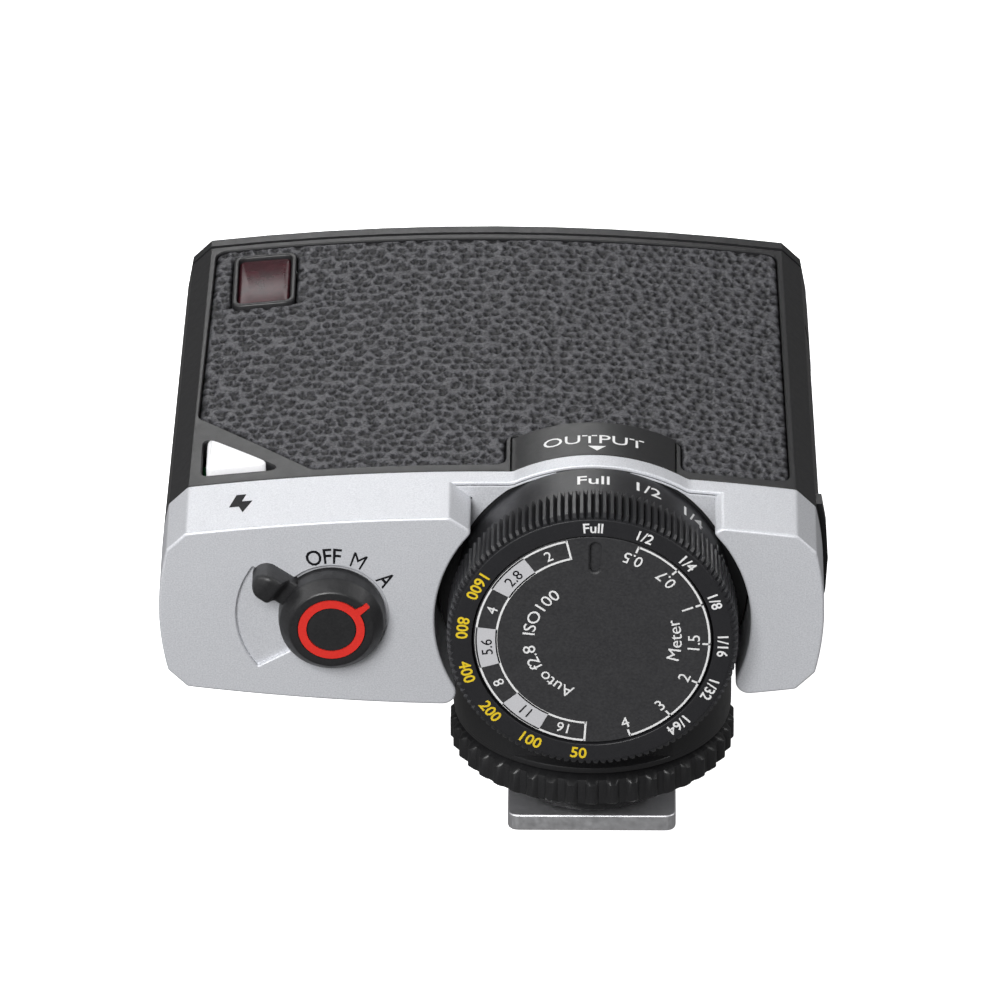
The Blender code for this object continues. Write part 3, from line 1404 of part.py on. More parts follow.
def make_reflector(left, right, mouth):
    """An open trough: a parabola swept across the window, closed at both ends."""
    half = LENS_HALF_HEIGHT - GAP
    inset = REFLECTOR_WALL + GAP
    left, right = left + inset, right - inset
    rings = []
    for step in range(5):
        share = step / 4
        depth = mouth - REFLECTOR_DEPTH * (1 - share**2)
        height = 2.2 + (half - 2.2) * share
        side = 2.0 * (1 - share)
        rings.append((depth, height, side))
    bm = bmesh.new()
    loops = []
    for depth, height, side in rings:
        corners = rectangle(left + side, BODY_MIDDLE - height, right - side, BODY_MIDDLE + height)
        loops.append([bm.verts.new((x, depth, z)) for x, z in corners])
    for near, far in zip(loops, loops[1:]):
        for i in range(4):
            j = (i + 1) % 4
            bm.faces.new((near[i], near[j], far[j], far[i]))
    bm.faces.new(loops[0])
    reflector = from_bmesh("reflector", bm, STEEL)
    solidify = reflector.modifiers.new("sheet", "SOLIDIFY")
    solidify.thickness = REFLECTOR_WALL * MM
    solidify.offset = 0
    y = mouth - REFLECTOR_DEPTH + 3.4
    hole = rod("tube_hole", None, TUBE_RADIUS + GAP, left - 4, right + 4, 24)
    cut(reflector, place(hole, (0, y, BODY_MIDDLE), "right"))
    glass = rod("flash_tube", CLEAR_PLASTIC, TUBE_RADIUS, left - 1.0, right + 1.0, 24)
    place(glass, (0, y, BODY_MIDDLE), "right")


def make_electronics(switch_board_low):
    x_low, x_high = INNER_LEFT + BOARD_SIDE_GAP, INNER_RIGHT - BOARD_SIDE_GAP
    low = (x_low, BOARD_REAR_Y, BODY_MIDDLE - BOARD_HALF_HEIGHT)
    high = (x_high, BOARD_FRONT_Y, BODY_MIDDLE + BOARD_HALF_HEIGHT)
    board = block("main_board", CIRCUIT_BOARD, low, high)
    z_screw = BODY_MIDDLE + BOARD_HALF_HEIGHT - 2.6
    for i, x in enumerate((MODE_X + 9.0, x_high - 2.6), 1):
        low, high = -BOARD_FRONT_Y - OVER, -BOARD_REAR_Y + OVER
        hole = rod(f"board_hole_{i}", None, SCREW_SHANK + GAP, low, high, 12)
        cut(board, place(hole, (x, 0, z_screw), "back"))
        screw(f"board_screw_{i}", (x, BOARD_REAR_Y - GAP, z_screw), BOARD_THICKNESS + 2, "back")
    x = BODY_LEFT + CAPACITOR_FROM_LEFT
    start = BOARD_FRONT_Y + 1.5
    profile = [
        (0, start),
        (CAPACITOR_RADIUS, start),
        (CAPACITOR_RADIUS, start + CAPACITOR_LENGTH - 0.8),
        (CAPACITOR_RADIUS - 0.8, start + CAPACITOR_LENGTH),
        (0, start + CAPACITOR_LENGTH),
    ]
    can = turned("flash_capacitor", CELL_SLEEVE, profile, steps=24)
    place(can, (x, 0, BODY_MIDDLE - 1.5), "front")
    rear = SPLIT_Y + 1.2
    top = switch_board_low - GAP
    low = (INNER_LEFT + 1.4, rear, top - 8.5)
    block("transformer", COPPER, low, (INNER_LEFT + 9.4, BOARD_REAR_Y - GAP, top))


def make_case_screws():
    for i, (x, y) in enumerate(case_screw_places(), 1):
        seat = bottom_z(x) + CASE_SCREW_SINK - GAP
        made = screw(f"case_screw_{i}", (x, y, seat), CASE_SCREW_LENGTH, head_height=CASE_SCREW_HEAD_HEIGHT)
        made.rotation_euler = (math.pi, 0, 0)


# ---------------------------------------------------------------- assembly

DIAL_AXIS = axis_empty("output_dial_axis", (0, 0, DIAL_Z), "back")
CALCULATOR_AXIS = axis_empty("calculator_axis", (0, 0, DIAL_Z), "back")
MODE_AXIS = axis_empty("mode_axis", (MODE_X, 0, MODE_Z), "back")
WHEEL_AXIS = axis_empty("lock_wheel_axis", (0, 0, 0))
CONTACT_AXIS = axis_empty("contact_axis", (0, 0, 0))

HINGE_Y = SPLIT_Y + HINGE_START
HINGE_Z = BODY_MIDDLE - DOOR_HALF_HEIGHT - HINGE_BELOW_DOOR
HINGE_POINT = Vector((BODY_X + half_width(HINGE_Y) - SIDE_BULGE - HINGE_INSET, HINGE_Y, HINGE_Z))
HINGE_SLOPE = math.atan(FRONT_TAPER / (FRONT_Y - SPLIT_Y))
HINGE_TURN = (-math.pi / 2, 0, HINGE_SLOPE)

make_rear_cover()
make_front_shell()
make_index_hood()
make_leather_panel()
make_slave_window()
SWITCH_BOARD_LOW = make_test_button()
make_dial_housing()
make_output_ring()
make_calculator_disc()
make_mode_switch()
make_pedestal()
make_foot_stem()
make_foot_plate()
make_lock_wheel()
make_centre_contact()
make_battery_door()
make_battery_bay()
make_front_bezel()
make_flash_head()
make_electronics(SWITCH_BOARD_LOW)
make_case_screws()
bpy.context.view_layer.update()
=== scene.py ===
"""Looks for a shoe-mount electronic flash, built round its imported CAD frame.

Sizes are in millimetres and MM turns them into metres. The dial's and the mode switch's pieces are
modelled in a frame of their own: local X to the right, Y up and Z towards the user.
"""

import json
import math

import bmesh
import bpy
import numpy as np
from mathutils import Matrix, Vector, noise


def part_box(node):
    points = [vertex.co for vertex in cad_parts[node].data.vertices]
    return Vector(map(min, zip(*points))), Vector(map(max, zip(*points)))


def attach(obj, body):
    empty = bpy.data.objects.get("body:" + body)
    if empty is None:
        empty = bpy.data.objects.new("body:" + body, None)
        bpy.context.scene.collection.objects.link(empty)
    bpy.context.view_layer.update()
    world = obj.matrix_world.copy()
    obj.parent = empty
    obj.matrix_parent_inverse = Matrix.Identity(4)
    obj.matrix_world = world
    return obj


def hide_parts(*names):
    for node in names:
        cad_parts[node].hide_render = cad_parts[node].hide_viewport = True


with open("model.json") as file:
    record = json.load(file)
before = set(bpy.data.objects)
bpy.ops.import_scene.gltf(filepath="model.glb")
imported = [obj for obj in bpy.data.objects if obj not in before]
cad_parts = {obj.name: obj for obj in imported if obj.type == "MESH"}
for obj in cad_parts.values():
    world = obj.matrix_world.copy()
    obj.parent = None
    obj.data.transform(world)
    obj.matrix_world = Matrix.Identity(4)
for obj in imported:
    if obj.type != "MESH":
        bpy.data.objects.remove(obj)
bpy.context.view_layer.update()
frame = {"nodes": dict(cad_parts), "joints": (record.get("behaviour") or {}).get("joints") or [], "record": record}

MM = 0.001


def box_mm(node):
    low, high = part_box(node)
    return low / MM, high / MM


JOINTS = {joint["name"]: joint for joint in frame["joints"]}
DIAL_Z = JOINTS["output_dial_turn"]["pos_m"][2] / MM
MODE_X = JOINTS["mode_turn"]["pos_m"][0] / MM
MODE_Z = JOINTS["mode_turn"]["pos_m"][2] / MM

COVER_LOW, COVER_HIGH = box_mm("rear_cover")
SHELL_LOW, SHELL_HIGH = box_mm("front_shell")
BEZEL_LOW, BEZEL_HIGH = box_mm("front_bezel")

BODY_LEFT, BODY_RIGHT = COVER_LOW.x, COVER_HIGH.x
BODY_X = (BODY_LEFT + BODY_RIGHT) / 2
BODY_HALF = (BODY_RIGHT - BODY_LEFT) / 2
BODY_BOTTOM, BODY_TOP = COVER_LOW.z, SHELL_HIGH.z
BODY_MIDDLE = (BODY_BOTTOM + BODY_TOP) / 2
REAR_Y, SPLIT_Y = COVER_LOW.y, COVER_HIGH.y
FRONT_Y = BEZEL_HIGH.y
PANEL = -REAR_Y

# The case's section
CROWN_RADIUS = 256.0
CHAMFER = 2.1
SIDE_BULGE = 0.9
FRONT_TAPER = 1.0
WALL = 2.0
GAP = 0.3
SHELL_GAP = 0.1  # line between the cover and the shell
CASE_EDGE = 0.35
REAR_EDGE = 0.32
COVER_CORNER = 0.7

# Dial
NOTCH_RADIUS = 17.1
NOTCH_FILLET = 1.5
NOTCH_CORNER_ANGLE = 40.7
NOTCH_FLARE = 36.4
ARCH_RISE = 15.1
ARCH_RADIUS = 19.1
BAND_DEPTH = 2.2
BAND_THICKNESS = 0.5
HOOD_HALF_WIDTH = 8.9
HOOD_LENGTH = 7.5
DIAL_FACE = -box_mm("output_ring")[0].y
DIAL_FACE_RADIUS = 15.25
KNURL_RADIUS = 15.75
KNURL_ROOT = 15.1
KNURL_TEETH = 120
KNURL_BACK = 21.0
KNURL_FRONT = 26.6
BARREL_RADIUS = 14.9
DISC_TOP = -box_mm("calculator_disc")[0].y
DISC_RADIUS = 12.85
HUB_RADIUS = 4.0
PRINT = 0.03  # thickness of printed ink
CAPITAL = 0.729  # height of a capital in Blender's own font, at size 1

# Leatherette
LEATHER_PITCH = 0.17  # spacing of the grid that carries the pebbles
LEATHER_RELIEF = 0.30
LEATHER_ROLL = 0.4  # width of the rolled edge
PIT_PITCH = (1.15, 1.5)  # spacing of the grain's pits, along X and along Y
PIT_SHARE = 0.45  # a pit's radius as a share of that spacing
PIT_WANDER = 0.7
GRAIN_SEED = 7

# Mode switch
KNOB_RADIUS = 5.8
KNOB_TOP = -box_mm("mode_knob")[0].y
KNOB_RECESS = 0.5
LEVER_REACH = 10.1
LEVER_HALF = 1.55
LEVER_LOW = 1.9
LEVER_ANGLE = 145.0
SECTOR_START = 139.0
SECTOR_END = 222.0
POINTER_ANGLE = 37.0

FACING = {"up": (0, 0, 0), "back": (math.pi / 2, 0, 0), "front": (-math.pi / 2, 0, 0)}


# ---------------------------------------------------------------- camera, lights and floor

AIM = Vector((-10.05, -19.8, 48.95))
VIEW_AZIMUTH = 0.5
VIEW_ELEVATION = 30.0
VIEW_DISTANCE = 1300.0
LENS = 434.0


def direction(azimuth, elevation):
    """From the object towards a place behind it: azimuth 0 is the user's side, and 90 is its right."""
    a, e = math.radians(azimuth), math.radians(elevation)
    return Vector((math.sin(a) * math.cos(e), -math.cos(a) * math.cos(e), math.sin(e)))


def look_at(obj, at):
    obj.rotation_euler = (Vector(at) * MM - obj.location).to_track_quat("-Z", "Y").to_euler()


def make_camera():
    data = bpy.data.cameras.new("camera")
    data.lens = LENS
    data.sensor_width = 36.0
    data.clip_end = 20.0
    camera = bpy.data.objects.new("camera", data)
    bpy.context.scene.collection.objects.link(camera)
    camera.location = (AIM + direction(VIEW_AZIMUTH, VIEW_ELEVATION) * VIEW_DISTANCE) * MM
    look_at(camera, AIM)
    bpy.context.scene.camera = camera


def softbox(name, azimuth, elevation, distance, width, height, watts, colour=(1, 1, 1)):
    data = bpy.data.lights.new(name, "AREA")
    data.shape = "RECTANGLE"
    data.size = width * MM
    data.size_y = height * MM
    data.energy = watts
    data.color = colour
    lamp = bpy.data.objects.new(name, data)
    bpy.context.scene.collection.objects.link(lamp)
    centre = Vector((BODY_X, 0, BODY_MIDDLE))
    lamp.location = (centre + direction(azimuth, elevation) * distance) * MM
    look_at(lamp, centre)


def make_lights():
    softbox("top_softbox", 180, 62, 600, 320, 70, 0.62)
    softbox("back_softbox", 190, 32, 700, 300, 90, 0.6)
    softbox("front_softbox", -18, 34, 700, 360, 300, 5.5)
    softbox("left_strip", -80, 35, 600, 140, 420, 0.9)
    softbox("right_strip", 80, 35, 600, 140, 420, 0.9)
    world = bpy.data.worlds.new("studio")
    bpy.context.scene.world = world
    world.use_nodes = True
    background = world.node_tree.nodes["Background"]
    background.inputs["Color"].default_value = (1, 1, 1, 1)
    background.inputs["Strength"].default_value = 0.14


def make_floor():
    """A pale floor that curves up into a backdrop."""
    bm = bmesh.new()
    half, bend, rise = 3000.0, 600.0, 3000.0
    path = [(-3000.0, 0.0), (1500.0, 0.0)]
    for step in range(1, 13):
        a = math.pi / 2 * step / 12
        path.append((1500.0 + bend * math.sin(a), bend * (1 - math.cos(a))))
    path.append((1500.0 + bend, rise))
    rows = [[bm.verts.new((x, y, z)) for x in (-half, half)] for y, z in path]
    for near, far in zip(rows, rows[1:]):
        bm.faces.new((near[0], near[1], far[1], far[0]))
    bmesh.ops.scale(bm, vec=(MM, MM, MM), verts=bm.verts)
    mesh = bpy.data.meshes.new("floor")
    bm.to_mesh(mesh)
    bm.free()
    floor = bpy.data.objects.new("floor", mesh)
    bpy.context.scene.collection.objects.link(floor)
    mesh.shade_smooth()
    mesh.materials.append(floor_white())
    floor.visible_diffuse = False
    floor.visible_glossy = False


# ---------------------------------------------------------------- materials


def new_material(name, **sockets):
    """A material whose Principled shader has these socket values, with its node tree and that shader."""
    made = bpy.data.materials.new(name)
    made.use_nodes = True
    tree = made.node_tree
    shader = tree.nodes["Principled BSDF"]
    for socket, value in sockets.items():
        shader.inputs[socket.replace("_", " ")].default_value = value
    made["shader"] = shader.name
    return made, tree, shader


def add(tree, kind, settings=None, **inputs):
    """A node of this kind. An input is a value, or a socket to link from."""
    node = tree.nodes.new(kind)
    for name, value in (settings or {}).items():
        setattr(node, name, value)
    for name, value in inputs.items():
        socket = node.inputs[name.replace("_", " ")]
        if isinstance(value, bpy.types.NodeSocket):
            tree.links.new(value, socket)
        else:
            socket.default_value = value
    return node


def grain(tree, size, detail=3.0, rough=0.6, stretch=(1, 1, 1)):
    """Noise with features of this size in millimetres, in the object's own coordinates."""
    place = add(tree, "ShaderNodeTexCoord").outputs["Object"]
    mapping = add(tree, "ShaderNodeMapping", Vector=place, Scale=stretch)
    return add(
        tree, "ShaderNodeTexNoise", Vector=mapping.outputs["Vector"], Scale=1 / (size * MM), Detail=detail,
        Roughness=rough,
    ).outputs["Fac"]


def between(tree, factor, low, high):
    return add(
        tree, "ShaderNodeMapRange", Value=factor, From_Min=0.3, From_Max=0.7, To_Min=low, To_Max=high
    ).outputs["Result"]


def mixed(tree, factor, first, second):
    mix = tree.nodes.new("ShaderNodeMix")
    mix.data_type = "RGBA"
    tree.links.new(factor, mix.inputs[0])
    mix.inputs[6].default_value = (*first, 1)
    mix.inputs[7].default_value = (*second, 1)
    return mix.outputs[2]


def bumped(tree, shader, height, depth):
    """Bump of this depth in millimetres."""
    bump = add(tree, "ShaderNodeBump", Height=height, Distance=depth * MM, Strength=1.0)
    tree.links.new(bump.outputs["Normal"], shader.inputs["Normal"])


def grainy(name, dark, light, rough, size, depth, **sockets):
    """A surface with fine grain in its colour, its roughness and its relief."""
    made, tree, shader = new_material(name, **sockets)
    noise_out = grain(tree, size)
    tree.links.new(mixed(tree, between(tree, noise_out, 0, 1), dark, light), shader.inputs["Base Color"])
    tree.links.new(between(tree, grain(tree, size * 6), *rough), shader.inputs["Roughness"])
    bumped(tree, shader, noise_out, depth)
    return made


def floor_white():
    made, tree, shader = new_material("floor_white", Roughness=0.9)
    shade = mixed(tree, grain(tree, 40), (0.93, 0.93, 0.935), (0.96, 0.96, 0.96))
    tree.links.new(shade, shader.inputs["Base Color"])
    tree.links.new(shade, shader.inputs["Emission Color"])
    shader.inputs["Emission Strength"].default_value = 1.1
    return made


def leather_black():
    made, tree, shader = new_material("leather_black", Specular_IOR_Level=0.22)
    fine = grain(tree, 0.3, detail=5)
    relief = add(tree, "ShaderNodeAttribute", {"attribute_name": "relief"}).outputs["Fac"]
    # Where relief is low, in the pits and at the rolled edge, the colour is painted near black; on the pebbles'
    # tops it is dark grey. This is painted shade, mixed with random tone from the fine grain.
    wear_and_pit_shade = add(tree, "ShaderNodeMath", {"operation": "MULTIPLY"})
    tree.links.new(relief, wear_and_pit_shade.inputs[0])
    tree.links.new(between(tree, fine, -0.2, 2.0), wear_and_pit_shade.inputs[1])
    tree.links.new(
        mixed(tree, wear_and_pit_shade.outputs[0], (0.003, 0.003, 0.0035), (0.088, 0.088, 0.096)), shader.inputs["Base Color"]
    )
    tree.links.new(between(tree, grain(tree, 0.5), 0.30, 0.42), shader.inputs["Roughness"])
    bumped(tree, shader, fine, 0.05)
    return made


def steel_satin(name, colour, rough, stretch=(1, 14, 1)):
    made, tree, shader = new_material(name, Metallic=1.0)
    lines = grain(tree, 0.9, detail=4, stretch=stretch)
    low = tuple(0.9 * c for c in colour)
    tree.links.new(mixed(tree, between(tree, lines, 0, 1), low, colour), shader.inputs["Base Color"])
    tree.links.new(between(tree, lines, rough - 0.06, rough + 0.08), shader.inputs["Roughness"])
    bumped(tree, shader, lines, 0.004)
    return made


def clear(name, colour, rough, ior=1.49):
    made, tree, shader = new_material(name, IOR=ior, Transmission_Weight=1.0)
    haze = grain(tree, 3.0)
    dim = tuple(0.94 * c for c in colour)
    tree.links.new(mixed(tree, haze, dim, colour), shader.inputs["Base Color"])
    tree.links.new(between(tree, haze, rough, rough + 0.03), shader.inputs["Roughness"])
    return made


def ink(name, colour, gloss=0.5):
    made, tree, shader = new_material(name, Specular_IOR_Level=gloss)
    wear_and_pit_shade = tuple(0.86 * c for c in colour)
    tree.links.new(mixed(tree, between(tree, grain(tree, 0.12), 0, 1), wear_and_pit_shade, colour), shader.inputs["Base Color"])
    tree.links.new(between(tree, grain(tree, 0.3), 0.42, 0.55), shader.inputs["Roughness"])
    return made


BLACK = grainy("black_plastic", (0.013, 0.013, 0.014), (0.020, 0.020, 0.021), (0.36, 0.44), 0.16, 0.006)
DIAL_BLACK = grainy("dial_black", (0.013, 0.013, 0.015), (0.020, 0.020, 0.022), (0.34, 0.42), 0.14, 0.005)
DISC_BLACK = grainy("disc_black", (0.022, 0.022, 0.024), (0.036, 0.036, 0.038), (0.44, 0.58), 0.30, 0.040)
KNOB_BLACK = grainy("knob_black", (0.011, 0.011, 0.012), (0.019, 0.019, 0.020), (0.36, 0.48), 0.20, 0.016)
SILVER = grainy(
    "silver_paint", (0.52, 0.53, 0.56), (0.68, 0.69, 0.72), (0.40, 0.48), 0.16, 0.010, Metallic=0.25,
    Specular_IOR_Level=0.5,
)
LEATHER = leather_black()
STEEL = steel_satin("foot_steel", (0.86, 0.86, 0.88), 0.48)
PLATED = steel_satin("plated_steel", (0.52, 0.52, 0.54), 0.28, (1, 1, 1))
BRASS = steel_satin("gold_contact", (0.83, 0.62, 0.27), 0.22, (1, 1, 1))
COPPER = steel_satin("copper_winding", (0.62, 0.27, 0.13), 0.35, (1, 1, 22))
FOIL = steel_satin("reflector_sheet", (0.88, 0.88, 0.89), 0.12, (3, 1, 1))
GREY = grainy("inner_plastic", (0.06, 0.06, 0.065), (0.09, 0.09, 0.095), (0.45, 0.6), 0.3, 0.01)
BOARD = grainy("board_green", (0.012, 0.11, 0.04), (0.02, 0.16, 0.06), (0.3, 0.45), 0.6, 0.01)
SLEEVE = grainy("shrink_sleeve", (0.05, 0.07, 0.11), (0.07, 0.09, 0.14), (0.2, 0.35), 1.5, 0.01)
RED_PAINT = grainy("red_paint", (0.60, 0.022, 0.016), (0.68, 0.032, 0.022), (0.35, 0.45), 0.2, 0.004)
WHITE = grainy(
    "white_plastic", (0.86, 0.86, 0.88), (0.90, 0.90, 0.92), (0.26, 0.34), 0.5, 0.002, Subsurface_Weight=0.25,
    Subsurface_Radius=(0.002, 0.002, 0.002), Subsurface_Scale=1.0,
)
RED_GLASS = grainy(
    "red_glass", (0.024, 0.007, 0.010), (0.052, 0.009, 0.014), (0.20, 0.28), 1.6, 0.0, Specular_IOR_Level=0.15,
)
RED_WELL = grainy("red_well", (0.035, 0.002, 0.004), (0.06, 0.003, 0.005), (0.25, 0.4), 0.8, 0.01)
CLEAR = clear("clear_plastic", (0.95, 0.97, 0.98), 0.03)
INK_WHITE = ink("ink_white", (0.80, 0.80, 0.80))
INK_YELLOW = ink("ink_yellow", (0.78, 0.56, 0.02))
INK_BLACK = ink("ink_black", (0.010, 0.010, 0.012), 0.12)
INK_GREY = ink("ink_light_grey", (0.56, 0.56, 0.58))

BY_SLOT = {
    "black_case": BLACK,
    "silver_case": SILVER,
    "leatherette": LEATHER,
    "dial_black": DIAL_BLACK,
    "disc_black": DISC_BLACK,
    "knob_black": KNOB_BLACK,
    "pointer_red": RED_PAINT,
    "button_white": WHITE,
    "window_red": RED_GLASS,
    "clear_optic": CLEAR,
    "foot_steel": STEEL,
    "small_steel": PLATED,
    "reflector_foil": FOIL,
    "contact_brass": BRASS,
    "inner_plastic": GREY,
    "board_green": BOARD,
    "sleeve_dark": SLEEVE,
    "copper_wire": COPPER,
}


def dress_cad_nodes():
    for part in frame["record"]["subparts"]:
        mesh = frame["nodes"][part["node"]].data
        mesh.materials.clear()
        mesh.materials.append(BY_SLOT[part["material_slot"]])


# ---------------------------------------------------------------- outlines


def signed_area(points):
    pairs = zip(points, points[1:] + points[:1])
    return sum(a[0] * b[1] - b[0] * a[1] for a, b in pairs) / 2


def arc(radius, start, end, steps, centre=(0.0, 0.0)):
    """Points on an arc between two angles in degrees."""
    angles = [math.radians(start + (end - start) * i / steps) for i in range(steps + 1)]
    return [(centre[0] + radius * math.cos(a), centre[1] + radius * math.sin(a)) for a in angles]


def circle(radius, steps=96, centre=(0.0, 0.0)):
    return arc(radius, 0, 360 - 360 / steps, steps - 1, centre)


def rectangle(low_x, low_y, high_x, high_y):
    return [(low_x, low_y), (high_x, low_y), (high_x, high_y), (low_x, high_y)]


def softened(points, radius, steps=4, sharper_than=12.0):
    """The polygon with its sharp corners rounded, as far as the sides beside them allow."""
    made = []
    for i, corner in enumerate(points):
        here = Vector(corner)
        to_back = Vector(points[i - 1]) - here
        to_next = Vector(points[(i + 1) % len(points)]) - here
        turn = math.pi - to_back.angle(to_next)
        if math.degrees(turn) < sharper_than:
            made.append(corner)
            continue
        reach = min(radius * math.tan(turn / 2), 0.45 * to_back.length, 0.45 * to_next.length)
        start = here + to_back.normalized() * reach
        end = here + to_next.normalized() * reach
        for step in range(steps + 1):
            t = step / steps
            point = start * (1 - t) ** 2 + here * 2 * t * (1 - t) + end * t**2
            made.append((point.x, point.y))
    return made


def cleared(points, radius, sharper_than=12.0):
    """The polygon without the smooth points that leave a sharp corner beside them no room to be rounded."""
    corners = []
    for i, point in enumerate(points):
        here = Vector(point)
        to_back = Vector(points[i - 1]) - here
        to_next = Vector(points[(i + 1) % len(points)]) - here
        turn = math.pi - to_back.angle(to_next)
        if math.degrees(turn) >= sharper_than:
            corners.append((here, radius * math.tan(turn / 2) / 0.45))
    made = []
    for point in points:
        gaps = [((Vector(point) - corner).length, room) for corner, room in corners]
        if all(gap < 1e-6 or gap >= room for gap, room in gaps) or any(gap < 1e-6 for gap, _ in gaps):
            made.append(point)
    return made


def shrunk(points, distance):
    """The polygon with every side moved inwards, or outwards for a negative distance."""
    inwards = 1 if signed_area(points) > 0 else -1
    made = []
    for i, corner in enumerate(points):
        here = Vector(corner)
        before = (here - Vector(points[i - 1])).normalized()
        after = (Vector(points[(i + 1) % len(points)]) - here).normalized()
        normal_before = Vector((-before.y, before.x)) * inwards
        normal_after = Vector((-after.y, after.x)) * inwards
        middle = (normal_before + normal_after).normalized()
        moved = here + middle * distance / max(middle.dot(normal_before), 0.3)
        made.append((moved.x, moved.y))
    return made


def crown(x):
    return (x - BODY_X) ** 2 / (2 * CROWN_RADIUS)


def top_z(x):
    return BODY_TOP - crown(x)


def bottom_z(x):
    return BODY_BOTTOM + crown(x)


def half_width(y):
    return BODY_HALF - FRONT_TAPER * max(0.0, (y - SPLIT_Y) / (FRONT_Y - SPLIT_Y))


def flat_reach(y):
    return half_width(y) - SIDE_BULGE - CHAMFER


def side_points(half, inset, side, steps=14):
    """The side of the case, from the top chamfer down to the bottom one, on one side."""
    leg = CHAMFER - inset * (2 - math.sqrt(2))
    reach = half - SIDE_BULGE - leg
    high = BODY_TOP - reach**2 / (2 * CROWN_RADIUS) - inset - leg
    tall = high - BODY_MIDDLE
    heights = [high - 2 * tall * i / steps for i in range(steps + 1)]
    return [(BODY_X + side * (half - SIDE_BULGE * ((z - BODY_MIDDLE) / tall) ** 2), z) for z in heights]


def across_top(start, end, inset=0.0, steps=40):
    xs = [start + (end - start) * i / steps for i in range(steps + 1)]
    return [(x, top_z(x) - inset) for x in xs]


def case_outline(y, inset=0.0):
    """The case's section, as (x, z), clockwise from the top left as seen from behind."""
    half = half_width(y) - inset
    leg = CHAMFER - inset * (2 - math.sqrt(2))
    reach = half - SIDE_BULGE - leg
    top = across_top(BODY_X - reach, BODY_X + reach, inset)
    bottom = [(x, bottom_z(x) + inset) for x, _ in reversed(top)]
    right = side_points(half, inset, 1)
    left = side_points(half, inset, -1)
    return top + right + bottom + left[::-1]


def notch_corner(side, inset):
    """Where the notch's round wall ends, as an angle, and how far out the notch reaches at the top."""
    radius = NOTCH_RADIUS + inset
    angle = NOTCH_CORNER_ANGLE
    corner_x = radius * math.cos(math.radians(angle))
    corner_y = radius * math.sin(math.radians(angle))
    ceiling = top_z(side * corner_x) - inset - DIAL_Z
    if corner_y < ceiling:
        return angle, corner_x + (ceiling - corner_y) / math.tan(math.radians(NOTCH_FLARE))
    for _ in range(6):
        angle = math.degrees(math.asin((top_z(side * corner_x) - inset - DIAL_Z) / radius))
        corner_x = radius * math.cos(math.radians(angle))
    return angle - 1, corner_x


def cover_outline(side, inset=0.0):
    """One half of the rear cover about the dial's axis. Side is -1 for the left and 1 for the right."""
    radius = NOTCH_RADIUS + inset
    corner_angle, top_x = notch_corner(side, inset)
    half = BODY_HALF - inset
    leg = CHAMFER - inset * (2 - math.sqrt(2))
    reach = half - SIDE_BULGE - leg
    centre_x = radius
    for _ in range(6):
        centre_y = bottom_z(side * centre_x) + inset - DIAL_Z + NOTCH_FILLET
        centre_x = math.sqrt((radius + NOTCH_FILLET) ** 2 - centre_y**2)
    tangent = math.degrees(math.atan2(centre_y, centre_x))
    top = across_top(side * top_x, BODY_X + side * reach, inset)
    low = [(x, bottom_z(x) + inset) for x, _ in across_top(BODY_X + side * reach, side * centre_x)][:-1]
    case = [(x, z - DIAL_Z) for x, z in top + side_points(half, inset, side) + low]
    fillet = arc(NOTCH_FILLET, 270, 180 + tangent, 8, (centre_x, centre_y))
    wall = arc(radius, tangent, corner_angle, 48)[1:]
    return case + [(side * x, y) for x, y in fillet + wall]


def roof(x):
    """Height over the dial's axis of the case's top, or of the arch where that is higher."""
    flat = top_z(x) - DIAL_Z
    if abs(x) >= ARCH_RADIUS:
        return flat
    return max(flat, ARCH_RISE - ARCH_RADIUS + math.sqrt(ARCH_RADIUS**2 - x**2))


# ---------------------------------------------------------------- meshes


def link(name, bm, material, at=(0, 0, 0), facing="up", smooth=32.0):
    bmesh.ops.remove_doubles(bm, verts=bm.verts, dist=1e-5)
    bmesh.ops.recalc_face_normals(bm, faces=bm.faces)
    bmesh.ops.scale(bm, vec=(MM, MM, MM), verts=bm.verts)
    mesh = bpy.data.meshes.new(name)
    bm.to_mesh(mesh)
    bm.free()
    obj = bpy.data.objects.new(name, mesh)
    bpy.context.scene.collection.objects.link(obj)
    if material:
        mesh.materials.append(material)
    shade(mesh, smooth)
    obj.location = Vector(at) * MM
    obj.rotation_euler = FACING[facing]
    return obj


def shade(mesh, smooth=32.0):
    mesh.shade_smooth()
    mesh.set_sharp_from_angle(angle=math.radians(smooth))


def weighted(obj):
    """Keeps large flat faces flat beside their rounded edges."""
    modifier = obj.modifiers.new("weighted", "WEIGHTED_NORMAL")
    modifier.keep_sharp = True
    modifier.weight = 80


def finish(obj, body, slot, *nodes):
    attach(obj, body)
    if nodes:
        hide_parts(*nodes)
    return obj


def ring_verts(bm, points):
    return [bm.verts.new(point) for point in points]


def skin(bm, near, far):
    for i in range(len(near)):
        j = (i + 1) % len(near)
        bm.faces.new((near[i], near[j], far[j], far[i]))


def stack(rings, closed=False):
    """Skins a row of loops with equal numbers of points, capped at both ends or closed on itself."""
    bm = bmesh.new()
    loops = [ring_verts(bm, ring) for ring in rings]
    for near, far in zip(loops, loops[1:]):
        skin(bm, near, far)
    if closed:
        skin(bm, loops[-1], loops[0])
    else:
        bm.faces.new(loops[0])
        bm.faces.new(loops[-1])
    return bm


